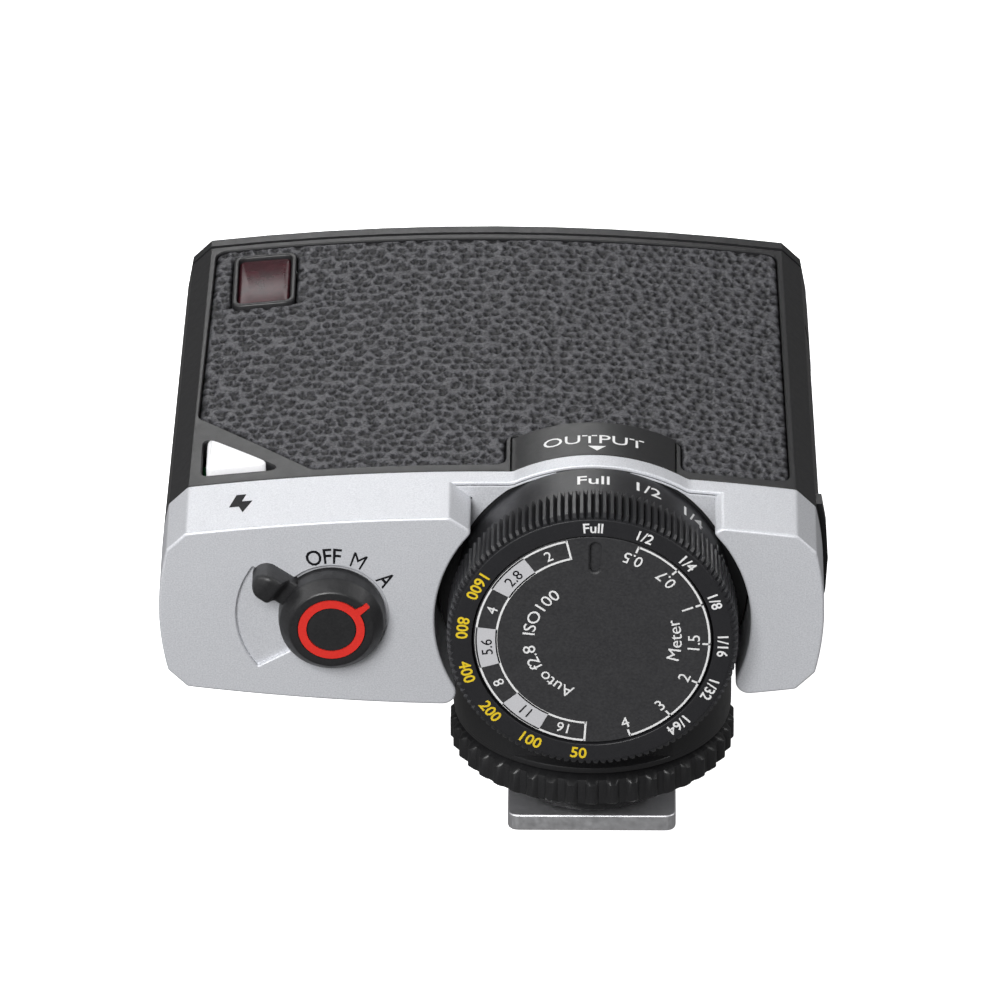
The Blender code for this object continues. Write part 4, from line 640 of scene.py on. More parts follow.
def slab(outline, low, high, top_edge=0.0, bottom_edge=0.0, steps=4):
    """An outline's prism with its top and bottom rims rounded, in local X, Y and Z."""
    rings = []
    if bottom_edge:
        for step in range(steps):
            a = math.pi / 2 * step / steps
            ring = shrunk(outline, bottom_edge * (1 - math.sin(a)))
            rings.append([(x, y, low + bottom_edge * (1 - math.cos(a))) for x, y in ring])
        rings.append([(x, y, low + bottom_edge) for x, y in outline])
    else:
        rings.append([(x, y, low) for x, y in outline])
    rings.append([(x, y, high - top_edge) for x, y in outline])
    if top_edge:
        for step in range(1, steps + 1):
            a = math.pi / 2 * step / steps
            ring = shrunk(outline, top_edge * (1 - math.cos(a)))
            rings.append([(x, y, high - top_edge * (1 - math.sin(a))) for x, y in ring])
    return stack(rings)


def flared(outline, low, high, edge):
    """A cutter whose mouth at height high flares out, so that the hole it cuts has a broken edge."""
    return stack(
        [
            [(x, y, low) for x, y in outline],
            [(x, y, high - edge) for x, y in outline],
            [(x, y, high) for x, y in shrunk(outline, -edge)],
            [(x, y, high + 2) for x, y in shrunk(outline, -edge)],
        ]
    )


def frame_slab(outer, inner, low, high, edge):
    """A frame between two outlines with equal numbers of points, with its upper edges rounded."""
    rings = [[(x, y, low) for x, y in outer], [(x, y, high - edge) for x, y in outer]]
    for step in (1, 2, 3):
        a = math.pi / 2 * step / 3
        rings.append([(x, y, high - edge * (1 - math.sin(a))) for x, y in shrunk(outer, edge * (1 - math.cos(a)))])
    for step in (3, 2, 1):
        a = math.pi / 2 * step / 3
        rings.append([(x, y, high - edge * (1 - math.sin(a))) for x, y in shrunk(inner, -edge * (1 - math.cos(a)))])
    rings += [[(x, y, high - edge) for x, y in inner], [(x, y, low) for x, y in inner]]
    return stack(rings, closed=True)


def bend_to_dome(bm, step=2.0):
    """Cuts a flat piece along X and drops it onto the case's domed top."""
    low = min(v.co.x for v in bm.verts)
    high = max(v.co.x for v in bm.verts)
    x = math.ceil(low / step) * step
    while x < high:
        geometry = bm.verts[:] + bm.edges[:] + bm.faces[:]
        bmesh.ops.bisect_plane(bm, geom=geometry, plane_co=(x, 0, 0), plane_no=(1, 0, 0), dist=1e-5)
        x += step
    for vert in bm.verts:
        vert.co.z += BODY_TOP - crown(vert.co.x)
    return bm


def turned(profile, steps=128):
    """A closed profile of (radius, height) points turned about local Z."""
    rings = []
    for radius, height in profile:
        rings.append([(x, y, height) for x, y in circle(max(radius, 1e-4), steps)])
    on_axis = profile[0][0] == 0 and profile[-1][0] == 0
    return stack(rings, closed=not on_axis)


def edged(profile, radius, steps=3):
    """The profile with its sharp corners off the axis rounded."""
    made = []
    for i, corner in enumerate(profile):
        on_axis = corner[0] == 0
        if on_axis:
            made.append(corner)
            continue
        here = Vector(corner)
        to_back = Vector(profile[i - 1]) - here
        to_next = Vector(profile[(i + 1) % len(profile)]) - here
        if to_back.angle(to_next) > math.radians(168):
            made.append(corner)
            continue
        reach = min(radius, 0.45 * to_back.length, 0.45 * to_next.length)
        start = here + to_back.normalized() * reach
        end = here + to_next.normalized() * reach
        for step in range(steps + 1):
            t = step / steps
            point = start * (1 - t) ** 2 + here * 2 * t * (1 - t) + end * t**2
            made.append((point.x, point.y))
    return made


def cut(target, *cutters):
    """Takes the cutters out of the target for good, and removes them."""
    for cutter in cutters:
        modifier = target.modifiers.new("cut", "BOOLEAN")
        modifier.operation = "DIFFERENCE"
        modifier.solver = "MANIFOLD"
        modifier.object = cutter
    bpy.context.view_layer.update()
    graph = bpy.context.evaluated_depsgraph_get()
    mesh = bpy.data.meshes.new_from_object(target.evaluated_get(graph))
    target.modifiers.clear()
    material = target.data.materials[0]
    target.data = mesh
    mesh.polygons.foreach_set("material_index", [0] * len(mesh.polygons))
    mesh.materials.clear()
    mesh.materials.append(material)
    for cutter in cutters:
        bpy.data.objects.remove(cutter, do_unlink=True)
    shade(mesh)
    return target


# ---------------------------------------------------------------- print


def text_mesh(text, height, weight, wide):
    """The text as points and triangles in millimetres, centred, with capitals of this height."""
    curve = bpy.data.curves.new("text", "FONT")
    curve.body = text
    curve.align_x = "CENTER"
    curve.offset = 0.0 if "M" in text else weight  # an M made bolder crosses over itself
    curve.extrude = PRINT / 2
    curve.resolution_u = 3
    obj = bpy.data.objects.new("text", curve)
    bpy.context.scene.collection.objects.link(obj)
    bpy.context.view_layer.update()
    graph = bpy.context.evaluated_depsgraph_get()
    mesh = bpy.data.meshes.new_from_object(obj.evaluated_get(graph))
    bpy.data.objects.remove(obj, do_unlink=True)
    scale = height / CAPITAL
    points = [(v.co.x * scale * wide, v.co.y * scale - height / 2, v.co.z) for v in mesh.vertices]
    mesh.calc_loop_triangles()
    faces = [tuple(t.vertices) for t in mesh.loop_triangles]
    bpy.data.meshes.remove(mesh)
    return points, faces


def on_ring(radius, angle, inward=False):
    """Places print on a flat round scale, with its tops outwards or inwards."""
    side = -1 if inward else 1

    def place(u, v, w):
        a = math.radians(angle) - side * u / radius
        r = radius + side * v
        return r * math.cos(a), r * math.sin(a), w

    return place


def on_barrel(radius, angle, height, centre_y=0.0):
    """Places print round a cylinder, with its tops away from the user."""

    def place(u, v, w):
        a = math.radians(angle) - u / radius
        r = radius + w
        return r * math.cos(a), centre_y + r * math.sin(a), height - v

    return place


def printed(name, labels, material, body, slot, at, face=0.0, facing="back"):
    """One piece of ink from (text, height, weight, width, place) labels and (points, faces) shapes."""
    bm = bmesh.new()
    for label in labels:
        if callable(label[-1]):
            text, height, weight, wide, place = label
            points, faces = text_mesh(text, height, weight, wide)
            points = [place(*point) for point in points]
        else:
            points, faces = label
        verts = [bm.verts.new((x, y, z + face)) for x, y, z in points]
        for corners in faces:
            bm.faces.new([verts[i] for i in corners])
    return finish(link(name, bm, material, at, facing), body, slot)


def band_shape(inner, outer, start, end, step=1.5):
    """A flat arc-shaped patch of ink between two radii and two angles, as points and faces."""
    count = max(2, int(abs(end - start) / step))
    edge = arc(outer, start, end, count) + arc(inner, end, start, count)
    return prism_shape(edge)


def stroke_shape(x1, y1, x2, y2, width):
    """A straight line of ink."""
    along = Vector((x2 - x1, y2 - y1)).normalized()
    side = Vector((-along.y, along.x)) * width / 2
    return prism_shape(
        [
            (x1 + side.x, y1 + side.y),
            (x2 + side.x, y2 + side.y),
            (x2 - side.x, y2 - side.y),
            (x1 - side.x, y1 - side.y),
        ]
    )


def ray_shape(inner, outer, angle, width):
    a = math.radians(angle)
    c, s = math.cos(a), math.sin(a)
    return stroke_shape(inner * c, inner * s, outer * c, outer * s, width)


def prism_shape(outline):
    """A closed outline as a thin solid of ink, in strips when it is an arc."""
    count = len(outline)
    low = [(x, y, 0.0) for x, y in outline]
    high = [(x, y, PRINT) for x, y in outline]
    faces = [(i, (i + 1) % count, count + (i + 1) % count, count + i) for i in range(count)]
    half = count // 2
    for i in range(half - 1):
        quad = (i, i + 1, count - 2 - i, count - 1 - i)
        faces.append(quad[::-1])
        faces.append(tuple(count + k for k in quad))
    return low + high, faces


# ---------------------------------------------------------------- case


def make_rear_cover():
    """The silver cover: a left and a right half, and the strip that arches over the dial."""
    at = (0, 0, DIAL_Z)
    made = []
    for side, name in ((-1, "cover_left"), (1, "cover_right")):
        outline = softened(cleared(cover_outline(side), COVER_CORNER), COVER_CORNER)
        half = link(name, slab(outline, -SPLIT_Y, PANEL, REAR_EDGE, 0.0, 5), SILVER, at, "back")
        inner = cover_outline(side, WALL)
        hollow = link("hollow", slab(inner, -SPLIT_Y - 1, PANEL - WALL), None, at, "back")
        cut(half, hollow)
        made.append(half)
    under, swept = KNOB_RADIUS + GAP, LEVER_REACH + GAP
    sector = arc(swept, SECTOR_START + 6, SECTOR_END - 3, 40) + arc(under, SECTOR_END + 4, SECTOR_START + 366, 64)
    recess = flared(softened(sector, 0.9, 5), PANEL - KNOB_RECESS, PANEL, 0.12)
    mode_at = (MODE_X, 0, MODE_Z)
    hole = slab(circle(2.0, 32), PANEL - 2 * WALL, PANEL + 1)
    cut(made[0], link("recess", recess, None, mode_at, "back"), link("hole", hole, None, mode_at, "back"))
    reach = NOTCH_RADIUS + WALL / 2
    xs = [-reach + 2 * reach * i / 80 for i in range(81)]
    strip = [(x, roof(x) + 0.01) for x in xs] + [(x, roof(x) - BAND_THICKNESS) for x in reversed(xs)]
    band = link("cover_strip", slab(strip, -SPLIT_Y, -SPLIT_Y + BAND_DEPTH, 0.2, 0.0, 3), SILVER, at, "back")
    made.append(band)
    for obj in made:
        weighted(obj)
        finish(obj, "flash_body", "silver_case", "rear_cover")


def leather_outline(grow=0.0):
    near = SPLIT_Y + 1.6
    far = FRONT_Y - 3.4
    near_reach = flat_reach(near) - 0.65
    far_reach = flat_reach(far) - 0.65
    side = HOOD_HALF_WIDTH + 2 * GAP
    hood_front = SPLIT_Y + HOOD_LENGTH + 2 * GAP
    left = BODY_X - near_reach
    outline = [
        (BODY_X + near_reach, near),
        (BODY_X + far_reach, far),
        (BODY_X - far_reach, far),
        (left, near + 13.5),
        (left + 12.8, near),
        (-side, near),
        (-side, hood_front),
        (side, hood_front),
        (side, near),
    ]
    return softened(shrunk(outline, -grow), 1.6, 8)


def window_outline(grow=0.0, corner=1.3):
    low, high = box_mm("sensor_bezel")
    return softened(rectangle(low.x - grow, low.y - grow, high.x + grow, high.y + grow), corner, 6)


def button_outline(grow=0.0):
    low, high = box_mm("test_button")
    corners = [(low.x, low.y), (high.x, low.y), (low.x, high.y)]
    return softened(shrunk(corners, -grow), 0.8, 5)


def make_front_shell():
    rear, front = SPLIT_Y + SHELL_GAP, SHELL_HIGH.y
    rings = []
    edge = 0.25
    for y, inset in ((rear, edge), (rear + 0.07, 0.07), (rear + edge, 0), (front - edge, 0), (front, edge)):
        rings.append([(x, y, z) for x, z in softened(case_outline(y, inset), CASE_EDGE)])
    shell = link("shell", stack(rings), BLACK)
    hollow = stack([[(x, y, z) for x, z in case_outline(y, WALL)] for y in (rear - 1, front + 1)])
    recess = bend_to_dome(flared(leather_outline(), -0.9, 0, 0.12))
    window = bend_to_dome(flared(window_outline(0.06), -WALL - 1, 0, 0.05))
    pocket = bend_to_dome(flared(button_outline(0.35), -WALL - 1, 0, 0.15))
    half = HOOD_HALF_WIDTH + GAP / 2
    slot = slab(rectangle(-half, 0, half, ARCH_RISE + 2), -SPLIT_Y - HOOD_LENGTH - GAP, -SPLIT_Y + 1)
    low, high = box_mm("battery_door")
    opening = bmesh.new()
    bmesh.ops.create_cube(opening, size=1.0)
    door_low = Vector((BODY_RIGHT - 10, low.y - GAP, BODY_MIDDLE - 6.8 - GAP - 0.4))
    door_high = Vector((BODY_RIGHT + 2, high.y + GAP, BODY_MIDDLE + 6.8 + GAP))
    bmesh.ops.scale(opening, vec=door_high - door_low, verts=opening.verts)
    bmesh.ops.translate(opening, vec=(door_low + door_high) / 2, verts=opening.verts)
    cut(
        shell,
        link("hollow", hollow, None),
        link("recess", recess, None),
        link("window", window, None),
        link("pocket", pocket, None),
        link("slot", slot, None, (0, 0, DIAL_Z), "back"),
        link("opening", opening, None),
    )
    weighted(shell)
    finish(shell, "flash_body", "black_case", "front_shell")


def make_hood():
    """The black arch over the dial, with its index."""
    half = HOOD_HALF_WIDTH
    xs = [half - 2 * half * i / 48 for i in range(49)]
    low = BODY_TOP - DIAL_Z - WALL - crown(half)
    outline = softened([(x, roof(x)) for x in xs] + [(-half, low), (half, low)], 0.3, 4)
    back = -SPLIT_Y - GAP / 2
    body = slab(outline, -SPLIT_Y - HOOD_LENGTH, back, 0.12, 0.35, 4)
    hood = link("hood", body, BLACK, (0, 0, DIAL_Z), "back")
    weighted(hood)
    finish(hood, "flash_body", "black_case", "index_hood")
    centre = ARCH_RISE - ARCH_RADIUS
    word = ("OUTPUT", 1.85, 0.0, 1.12, on_barrel(ARCH_RADIUS, 90, -SPLIT_Y - 3.6, centre))
    place = on_barrel(ARCH_RADIUS, 88.8, -SPLIT_Y - 1.6, centre)
    triangle = [(-0.95, 0.45), (0.95, 0.45), (0, -0.55)]
    points = [place(x, y, w) for w in (0.0, PRINT) for x, y in triangle]
    faces = [(0, 1, 2), (5, 4, 3), (0, 3, 4, 1), (1, 4, 5, 2), (2, 5, 3, 0)]
    printed("hood_print", [word, (points, faces)], INK_WHITE, "flash_body", "black_case", (0, 0, DIAL_Z))


def grain_height(x, y):
    """Height of the leatherette's grain: a net round staggered pits, from 0 in a pit to about 1."""
    nearest = 1.0
    middle_row = round(y / PIT_PITCH[1])
    for row in (middle_row - 1, middle_row, middle_row + 1):
        shift = row % 2 / 2
        middle = round(x / PIT_PITCH[0] - shift)
        for column in (middle - 1, middle, middle + 1):
            stray = noise.noise_vector(Vector((column * 1.7, row * 1.3, 4.5))) * PIT_WANDER
            across = x / PIT_PITCH[0] - column - shift - stray.x
            along = y / PIT_PITCH[1] - row - stray.y
            nearest = min(nearest, math.hypot(across, along))
    net = min(1.0, nearest / PIT_SHARE) ** 2
    soft = noise.noise(Vector((x / 2.6, y / 2.6, 9.0)))
    fine = noise.noise(Vector((x / 0.42, y / 0.42, 5.0)))
    return min(1.2, max(0.0, net * (0.85 + 0.3 * soft) + 0.25 * fine))


def distance_to(outline, points):
    """Distance of each point from the outline, and the nearest place on it."""
    best = np.full(len(points), 1e9)
    nearest = np.zeros_like(points)
    loop = np.array(outline)
    for a, b in zip(loop, np.roll(loop, -1, axis=0)):
        side = b - a
        t = np.clip(((points - a) @ side) / max(side @ side, 1e-12), 0, 1)
        place = a + t[:, None] * side
        gap = np.linalg.norm(points - place, axis=1)
        closer = gap < best
        best[closer] = gap[closer]
        nearest[closer] = place[closer]
    return best, nearest


def inside(outline, points):
    """Which points are inside the outline."""
    found = np.zeros(len(points), bool)
    loop = np.array(outline)
    for (ax, ay), (bx, by) in zip(loop, np.roll(loop, -1, axis=0)):
        if ay == by:
            continue
        crosses = (ay > points[:, 1]) != (by > points[:, 1])
        at = ax + (points[:, 1] - ay) * (bx - ax) / (by - ay)
        found ^= crosses & (points[:, 0] < at)
    return found


def make_leather():
    """A fine grid inside the outline, raised into pebbles, rolled down at its edges and closed below."""
    noise.seed_set(GRAIN_SEED)
    pitch = LEATHER_PITCH
    outer = leather_outline(-0.05)
    hole = window_outline(0.08)
    low = np.min(outer, axis=0)
    high = np.max(outer, axis=0)
    xs = np.arange(low[0] - pitch, high[0] + 2 * pitch, pitch)
    ys = np.arange(low[1] - pitch, high[1] + 2 * pitch, pitch)
    grid = np.array([(x, y) for y in ys for x in xs])
    kept = inside(outer, grid) & ~inside(hole, grid)
    outer_gap, outer_near = distance_to(outer, grid)
    hole_gap, hole_near = distance_to(hole, grid)
    gap = np.minimum(outer_gap, hole_gap)
    near = np.where((outer_gap < hole_gap)[:, None], outer_near, hole_near)
    width = len(xs)
    bm = bmesh.new()
    relief = bm.verts.layers.float.new("relief")
    verts = {}

    def vert(i):
        if i not in verts:
            verts[i] = bm.verts.new((grid[i][0], grid[i][1], 0))
        return verts[i]

    for row in range(len(ys) - 1):
        for column in range(width - 1):
            first = row * width + column
            corners = (first, first + 1, first + 1 + width, first + width)
            if all(kept[c] for c in corners):
                bm.faces.new([vert(c) for c in corners])
    rim = {v for e in bm.edges if e.is_boundary for v in e.verts}
    places = {v: i for i, v in verts.items()}
    for v, i in places.items():
        if v in rim:
            v.co.x, v.co.y = near[i]
            edge = 1.0
        else:
            edge = max(0.0, 1 - gap[i] / LEATHER_ROLL) ** 2
        height = grain_height(v.co.x, v.co.y)
        # The relief attribute also darkens the leather's colour in the pits and at the rolled edge: painted shade.
        v[relief] = height * (1 - edge)
        lift = LEATHER_RELIEF * height * (1 - edge)
        v.co.z = BODY_TOP - crown(v.co.x) - 0.3 + lift - 0.2 * edge
    border = [e for e in bm.edges if e.is_boundary]
    down = bmesh.ops.extrude_edge_only(bm, edges=border)["geom"]
    for v in [g for g in down if isinstance(g, bmesh.types.BMVert)]:
        v.co.z -= 0.3
    base = [e for e in down if isinstance(e, bmesh.types.BMEdge) and e.is_boundary]
    bmesh.ops.triangle_fill(bm, use_beauty=True, edges=base)
    panel = link("leather", bm, LEATHER, smooth=80)
    finish(panel, "flash_body", "leatherette", "leather_panel")


def make_window():
    low, high = box_mm("sensor_bezel")
    outer = window_outline()
    inner = softened(rectangle(low.x + 0.55, low.y + 0.55, high.x - 0.55, high.y - 0.55), 0.9, 6)
    bezel = link("window_bezel", bend_to_dome(frame_slab(outer, inner, -WALL, 0.28, 0.2)), BLACK)
    finish(bezel, "flash_body", "black_case", "sensor_bezel")
    pane_outline = shrunk(inner, 0.05)
    pane = link("window_pane", bend_to_dome(slab(pane_outline, -1.5, -0.1, 0.35, 0.0, 4)), RED_GLASS)
    finish(pane, "flash_body", "window_red", "sensor_window")
    well_low = -4.2
    well_outer = shrunk(inner, -0.6)
    rings = [
        [(x, y, well_low) for x, y in well_outer],
        [(x, y, -WALL - 0.05) for x, y in well_outer],
        [(x, y, -WALL - 0.05) for x, y in inner],
        [(x, y, well_low + 0.4) for x, y in shrunk(inner, 1.0)],
    ]
    well = link("window_well", bend_to_dome(stack(rings)), RED_WELL)
    finish(well, "flash_body", "window_red")


def make_button():
    low, high = box_mm("test_button")
    top = 0.7
    outline = shrunk(button_outline(), 0.12)
    body = slab(outline, -2.4, top, 0.35, 0.0, 4)
    key = link("button_cap", bend_to_dome(body), WHITE)
    weighted(key)
    finish(key, "test_key", "button_white", "test_button")


def make_bolt_mark():
    """A small plain lightning bolt, the usual sign for flash, on the silver strip beside the button."""
    x0, y0 = -38.1, -17.4
    bolt = [(-0.5, 1.9), (0.55, 1.9), (0.1, 0.45), (1.25, 0.45), (0.25, -1.9), (-0.2, -0.6), (-1.25, -0.6)]
    low = [(x0 + x, y0 + y, top_z(x0 + x) - PRINT) for x, y in bolt]
    high = [(x, y, z + 2 * PRINT) for x, y, z in low]
    bm = stack([low, high])
    mark = link("bolt_mark", bm, INK_BLACK)
    finish(mark, "flash_body", "silver_case")


# ---------------------------------------------------------------- dial


def toothed(teeth, root, crest, height, shares, steps):
    """A ring of points at one height whose radius follows the tooth's shape round the circle."""
    points = []
    for i in range(teeth * steps):
        share = (i % steps) / steps
        rise = shares(share)
        a = 2 * math.pi * i / (teeth * steps)
        r = root + (crest - root) * rise
        points.append((r * math.cos(a), r * math.sin(a), height))
    return points


def ridge(share):
    """Across one knurl tooth: a flat-topped ridge with sloping flanks."""
    across = abs(share - 0.5) * 2
    return min(1.0, max(0.0, (0.92 - across) / 0.42))


def make_dial():
    at = (0, 0, DIAL_Z)
    rear = -box_mm("output_ring")[1].y
    body_rear = -SPLIT_Y + BAND_DEPTH + GAP
    well = DISC_RADIUS + 0.22
    profile = [
        (BARREL_RADIUS - 1.6, body_rear),
        (BARREL_RADIUS, body_rear),
        (BARREL_RADIUS, KNURL_BACK),
        (KNURL_ROOT, KNURL_BACK + 0.05),
        (KNURL_ROOT, DIAL_FACE),
        (well, DIAL_FACE),
        (well, DIAL_FACE - 2.0),
        (2.2, DIAL_FACE - 2.0),
        (2.2, rear),
        (HUB_RADIUS, rear),
        (HUB_RADIUS, DIAL_FACE - 3.6),
        (BARREL_RADIUS - 1.6, DIAL_FACE - 3.6),
    ]
    ring = link("dial_ring", turned(edged(profile, 0.14), 180), DIAL_BLACK, at, "back")
    weighted(ring)
    finish(ring, "output_dial", "dial_black", "output_ring")
    steps = 10
    inner = KNURL_ROOT - 0.5
    stations = [
        (KNURL_BACK + 0.02, inner, inner),
        (KNURL_BACK + 0.02, KNURL_ROOT - 0.1, KNURL_RADIUS - 0.25),
        (KNURL_BACK + 0.25, KNURL_ROOT, KNURL_RADIUS),
        (KNURL_FRONT - 0.45, KNURL_ROOT, KNURL_RADIUS),
        (KNURL_FRONT, KNURL_ROOT, KNURL_RADIUS - 0.35),
        (KNURL_FRONT, inner, inner),
    ]
    rings = [toothed(KNURL_TEETH, root, crest, height, ridge, steps) for height, root, crest in stations]
    knurl = link("dial_knurl", stack(rings, closed=True), DIAL_BLACK, at, "back", 28)
    finish(knurl, "output_dial", "dial_black", "output_ring")


def make_housing():
    """The black plate behind the dial, and the cover's silver inner face above it."""
    at = (0, 0, DIAL_Z)
    rear = -SPLIT_Y + BAND_DEPTH
    radius = NOTCH_RADIUS - GAP
    reach = radius * math.cos(math.radians(NOTCH_CORNER_ANGLE))
    xs = [reach - 2 * reach * i / 40 for i in range(41)]
    top = [(x, roof(x) - BAND_THICKNESS - 0.05) for x in xs]
    outline = top + arc(radius, 180 - NOTCH_CORNER_ANGLE, 360 + NOTCH_CORNER_ANGLE, 96)
    plate = link("housing_plate", slab(outline, rear - 2.0, rear), BLACK, at, "back")
    finish(plate, "flash_body", "black_case", "dial_housing")
    for side, name in ((-1, "pocket_left"), (1, "pocket_right")):
        angle, top_x = notch_corner(side, 0.0)
        end = 4.0
        xs = [end + (top_x - end) * i / 20 for i in range(21)]
        above = [(side * x, roof(side * x) - BAND_THICKNESS + 0.05) for x in xs]
        flank = arc(NOTCH_RADIUS + 0.05, angle, 22, 12)
        inner = arc(15.3, 22, math.degrees(math.acos(end / 15.3)), 24)
        points = above + [(side * x, y) for x, y in flank]
        points += [(side * x, min(y, roof(side * x) - BAND_THICKNESS - 0.05)) for x, y in inner]
        floor = link(name, slab(points, rear + 0.05, rear + 0.35), SILVER, at, "back")
        finish(floor, "flash_body", "silver_case", "rear_cover")


def make_dial_print():
    at = (0, 0, DIAL_Z)
    powers = ("Full", "1/2", "1/4", "1/8", "1/16", "1/32", "1/64")
    pitch = 23.0
    middle = (KNURL_BACK - SPLIT_Y + BAND_DEPTH) / 2 - 0.3
    faces = [(word, 1.2, 0.016, 1.0, on_ring(14.12, 90 - pitch * i)) for i, word in enumerate(powers)]
    barrel = [
        (word, 1.8, 0.008, 1.1, on_barrel(BARREL_RADIUS, 90 - pitch * i, middle)) for i, word in enumerate(powers)
    ]
    printed("power_scale", faces, INK_WHITE, "output_dial", "dial_black", at, DIAL_FACE)
    printed("barrel_scale", barrel, INK_WHITE, "output_dial", "dial_black", at)
    speeds = ("1600", "800", "400", "200", "100", "50")
    yellow = [
        (word, 1.32, 0.018, 1.0, on_ring(14.1, 151 + 22.6 * i, True)) for i, word in enumerate(speeds)
    ]
    printed("film_speed_scale", yellow, INK_YELLOW, "output_dial", "dial_black", at, DIAL_FACE)


def make_disc():
    at = (0, 0, DIAL_Z)
    low = DISC_TOP - 1.5
    profile = [(0, low - 6), (1.8, low - 6), (1.8, low), (DISC_RADIUS, low), (DISC_RADIUS, DISC_TOP), (0, DISC_TOP)]
    disc = link("disc", turned(edged(profile, 0.12), 160), DISC_BLACK, at, "back")
    half = 1.15 / 2
    ends = arc(half, 0, 180, 12, (0, 12.1 - half)) + arc(half, 180, 360, 12, (0, 8.4 + half))
    turn = math.radians(-1.3)
    ends = [(x * math.cos(turn) - y * math.sin(turn), x * math.sin(turn) + y * math.cos(turn)) for x, y in ends]
    groove = link("groove", flared(ends, DISC_TOP - 0.6, DISC_TOP, 0.16), None, at, "back")
    cut(disc, groove)
    weighted(disc)
    finish(disc, "calculator", "disc_black", "calculator_disc")
    make_disc_print(at)


def make_disc_print(at):
    inner, outer, line = 10.3, 12.72, 0.22
    pitch = 23.3
    start = 103.0
    apertures = ("2", "2.8", "4", "5.6", "8", "11", "16")
    end = start + pitch * len(apertures)
    white = [
        band_shape(inner, inner + line, start, end),
        band_shape(outer - line, outer, start, end),
        ray_shape(inner, outer, start, line),
        ray_shape(inner, outer, end, line),
    ]
    cells = []
    dark = []
    for i, word in enumerate(apertures):
        middle = start + pitch * (i + 0.5)
        filled = i % 2 == 1
        if filled:
            cells.append(band_shape(inner + 0.05, outer - 0.05, start + pitch * i, start + pitch * (i + 1)))
        label = (word, 1.25, 0.004, 1.0, on_ring((inner + outer) / 2, middle))
        (dark if filled else white).append(label)
    arc_radius = 12.72
    scale_start = 67.0
    distances = ("0.5", "0.7", "1", "1.5", "2", "3", "4")
    white.append(band_shape(arc_radius - line, arc_radius, scale_start, scale_start - 23 * (len(distances) - 1)))
    for i, word in enumerate(distances):
        angle = scale_start - 23 * i
        white.append(ray_shape(arc_radius - 0.85, arc_radius, angle, line))
        white.append((word, 1.35, 0.004, 1.0, on_ring(10.9, angle, True)))
    white.append(("Meter", 1.45, 0.002, 1.05, on_ring(8.9, 0, True)))
    white.append(("Auto f2.8  ISO100", 1.4, 0.002, 1.12, on_ring(7.0, 187.5)))
    printed("disc_print", white, INK_WHITE, "calculator", "disc_black", at, DISC_TOP)
    printed("disc_cells", cells, INK_GREY, "calculator", "disc_black", at, DISC_TOP)
    printed("disc_dark_print", dark, INK_BLACK, "calculator", "disc_black", at, DISC_TOP + PRINT)


# ---------------------------------------------------------------- mode switch


def make_mode_switch():
    at = (MODE_X, 0, MODE_Z)
    base = PANEL - KNOB_RECESS + GAP / 2
    shoulder = base + 0.62 * (KNOB_TOP - base)
    profile = [
        (0, base),
        (KNOB_RADIUS, base),
        (KNOB_RADIUS, base + 0.9),
        (KNOB_RADIUS - 0.15, shoulder),
        (KNOB_RADIUS - 1.15, KNOB_TOP - 0.12),
        (KNOB_RADIUS - 1.3, KNOB_TOP),
        (0, KNOB_TOP),
    ]
    knob = link("knob", turned(edged(profile, 0.16), 128), KNOB_BLACK, at, "back")
    groove = link("groove", pointer_ring(0.1, KNOB_TOP - 0.35, KNOB_TOP + 1), None, at, "back")
    cut(knob, groove)
    weighted(knob)
    finish(knob, "mode_selector", "knob_black", "mode_knob")
    make_lever(at, base)
    pointer = link("pointer", pointer_ring(0.0, KNOB_TOP - 0.3, KNOB_TOP + 0.04), RED_PAINT, at, "back")
    finish(pointer, "mode_selector", "pointer_red", "mode_pointer")
    labels = [
        (word, 1.95, 0.012, 0.84, on_ring(7.4, 97 - 30 * i)) for i, word in enumerate(("OFF", "M", "A"))
    ]
    printed("mode_print", labels, INK_BLACK, "flash_body", "silver_case", at, PANEL)


def pointer_ring(grow, low, high):
    """The red ring with its tick, as a solid between two heights."""
    outer_radius, inner_radius, half, reach = 3.6 + grow, 2.7 - grow, 0.42 + grow, 5.0 + grow
    edge = math.degrees(math.asin(half / outer_radius))
    count = 72
    rim = arc(outer_radius, edge, 360 - edge, count)
    tick = [(reach, -half * 0.6), (reach, half * 0.6)]
    outer = rim + tick
    hole = [(inner_radius * Vector(p).normalized().x, inner_radius * Vector(p).normalized().y) for p in rim]
    hole += [(inner_radius * math.cos(a), inner_radius * math.sin(a)) for a in (-0.03, 0.03)]
    turn = math.radians(POINTER_ANGLE)

    def turned_at(points, z):
        c, s = math.cos(turn), math.sin(turn)
        return [(x * c - y * s, x * s + y * c, z) for x, y in points]

    rings = [turned_at(outer, low), turned_at(outer, high), turned_at(hole, high), turned_at(hole, low)]
    return stack(rings, closed=True)


def lever_ring(x, base):
    """The finger lever's cross-section at this distance from the knob's axis."""
    tip = LEVER_REACH - LEVER_HALF
    half = LEVER_HALF if x <= tip else math.sqrt(max(LEVER_HALF**2 - (x - tip) ** 2, 0.01))
    climb = min(1.0, max(0.0, (x - 6.4) / 1.3))
    top = base + LEVER_LOW + (KNOB_TOP - 0.05 - base - LEVER_LOW) * climb**2 * (3 - 2 * climb)
    fall = max(0.0, (x - tip - 0.2) / (LEVER_HALF - 0.2))
    top -= 1.3 * (1 - math.sqrt(max(0.0, 1 - fall**2)))
    corner = min(0.55, 0.6 * half)
    right = arc(corner, 0, 90, 6, (half - corner, top - corner))
    section = [(half, base + 0.05)] + right + [(-y, z) for y, z in reversed(right)] + [(-half, base + 0.05)]
    turn = math.radians(LEVER_ANGLE)
    c, s = math.cos(turn), math.sin(turn)
    return [(x * c - y * s, x * s + y * c, z) for y, z in section]


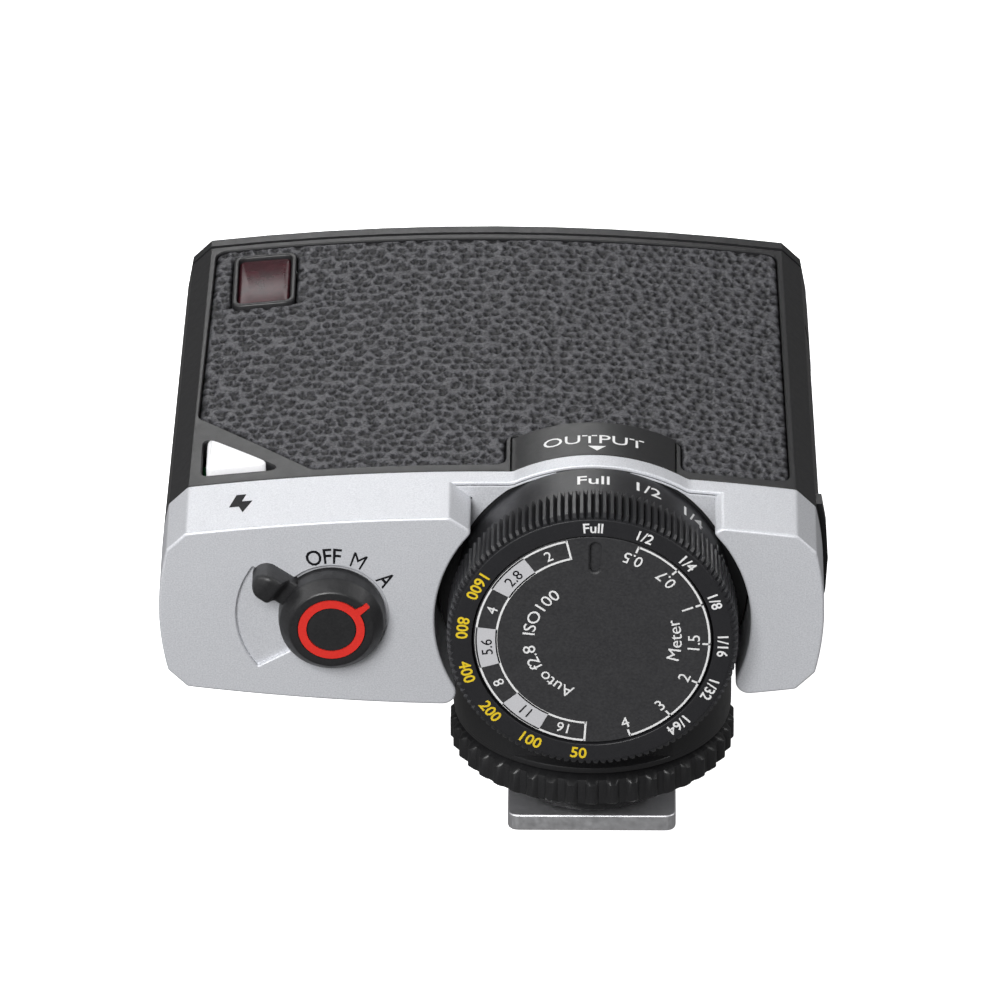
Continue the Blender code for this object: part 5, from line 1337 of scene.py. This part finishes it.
def make_lever(at, base):
    """The finger lever: low beside the knob, with a raised rounded tip."""
    stations = [3.0 + 0.2 * i for i in range(35)] + [9.95, 10.05, LEVER_REACH]
    lever = link("lever", stack([lever_ring(x, base) for x in stations]), KNOB_BLACK, at, "back", 40)
    finish(lever, "mode_selector", "knob_black", "mode_knob")


# ---------------------------------------------------------------- pedestal, wheel and foot


def make_pedestal():
    low, high = box_mm("pedestal")
    radius = (high.x - low.x) / 2
    edge = math.degrees(math.asin(12.6 / radius))
    outline = softened(arc(radius, -edge, 180 + edge, 96), 0.5)
    top = BODY_BOTTOM + 0.6
    body = link("pedestal_body", slab(outline, low.z + 0.5, top, 0.0, 0.2), BLACK)
    weighted(body)
    finish(body, "flash_body", "black_case", "pedestal")
    ledge_profile = [(0, low.z), (radius - 0.1, low.z), (radius - 0.1, low.z + 0.7), (0, low.z + 0.7)]
    ledge = link("pedestal_ledge", turned(edged(ledge_profile, 0.18), 128), BLACK)
    weighted(ledge)
    finish(ledge, "flash_body", "black_case", "pedestal")


def scallop(share):
    """Across one rib of the lock wheel: a narrow ridge between two shallow hollows."""
    across = abs(share - 0.5) * 2
    return max(0.0, 1 - (across / 0.62) ** 2) ** 0.7 if across < 0.62 else 0.0


def make_wheel():
    low, high = box_mm("lock_wheel")
    crest = (high.x - low.x) / 2
    root = crest - 0.55
    inner = 8.4 + GAP
    steps = 12
    stations = [
        (low.z, inner, inner),
        (low.z, root - 1.0, root - 1.0),
        (low.z + 0.35, root - 0.1, crest - 0.45),
        (low.z + 0.75, root, crest),
        (high.z - 0.75, root, crest),
        (high.z - 0.35, root - 0.1, crest - 0.45),
        (high.z, root - 1.0, root - 1.0),
        (high.z, inner, inner),
    ]
    rings = [toothed(42, near, far, z, scallop, steps) for z, near, far in stations]
    wheel = link("wheel_knurl", stack(rings, closed=True), BLACK, smooth=40)
    finish(wheel, "wheel", "black_case", "lock_wheel")


def make_foot():
    low, high = box_mm("foot_plate")
    outline = softened(rectangle(low.x, low.y, high.x, high.y), 1.3, 6)
    plate = link("foot", slab(outline, low.z, high.z, 0.22, 0.22, 3), STEEL)
    hole = link("hole", slab(circle(3.5, 48), low.z - 1, high.z + 1), None)
    cut(plate, hole)
    weighted(plate)
    finish(plate, "flash_body", "foot_steel", "foot_plate")


# ---------------------------------------------------------------- build

make_camera()
make_lights()
make_floor()
dress_cad_nodes()
make_rear_cover()
make_front_shell()
make_hood()
make_leather()
make_window()
make_button()
make_bolt_mark()
make_dial()
make_housing()
make_dial_print()
make_disc()
make_mode_switch()
make_pedestal()
make_wheel()
make_foot()
bpy.context.scene.view_settings.view_transform = "Standard"
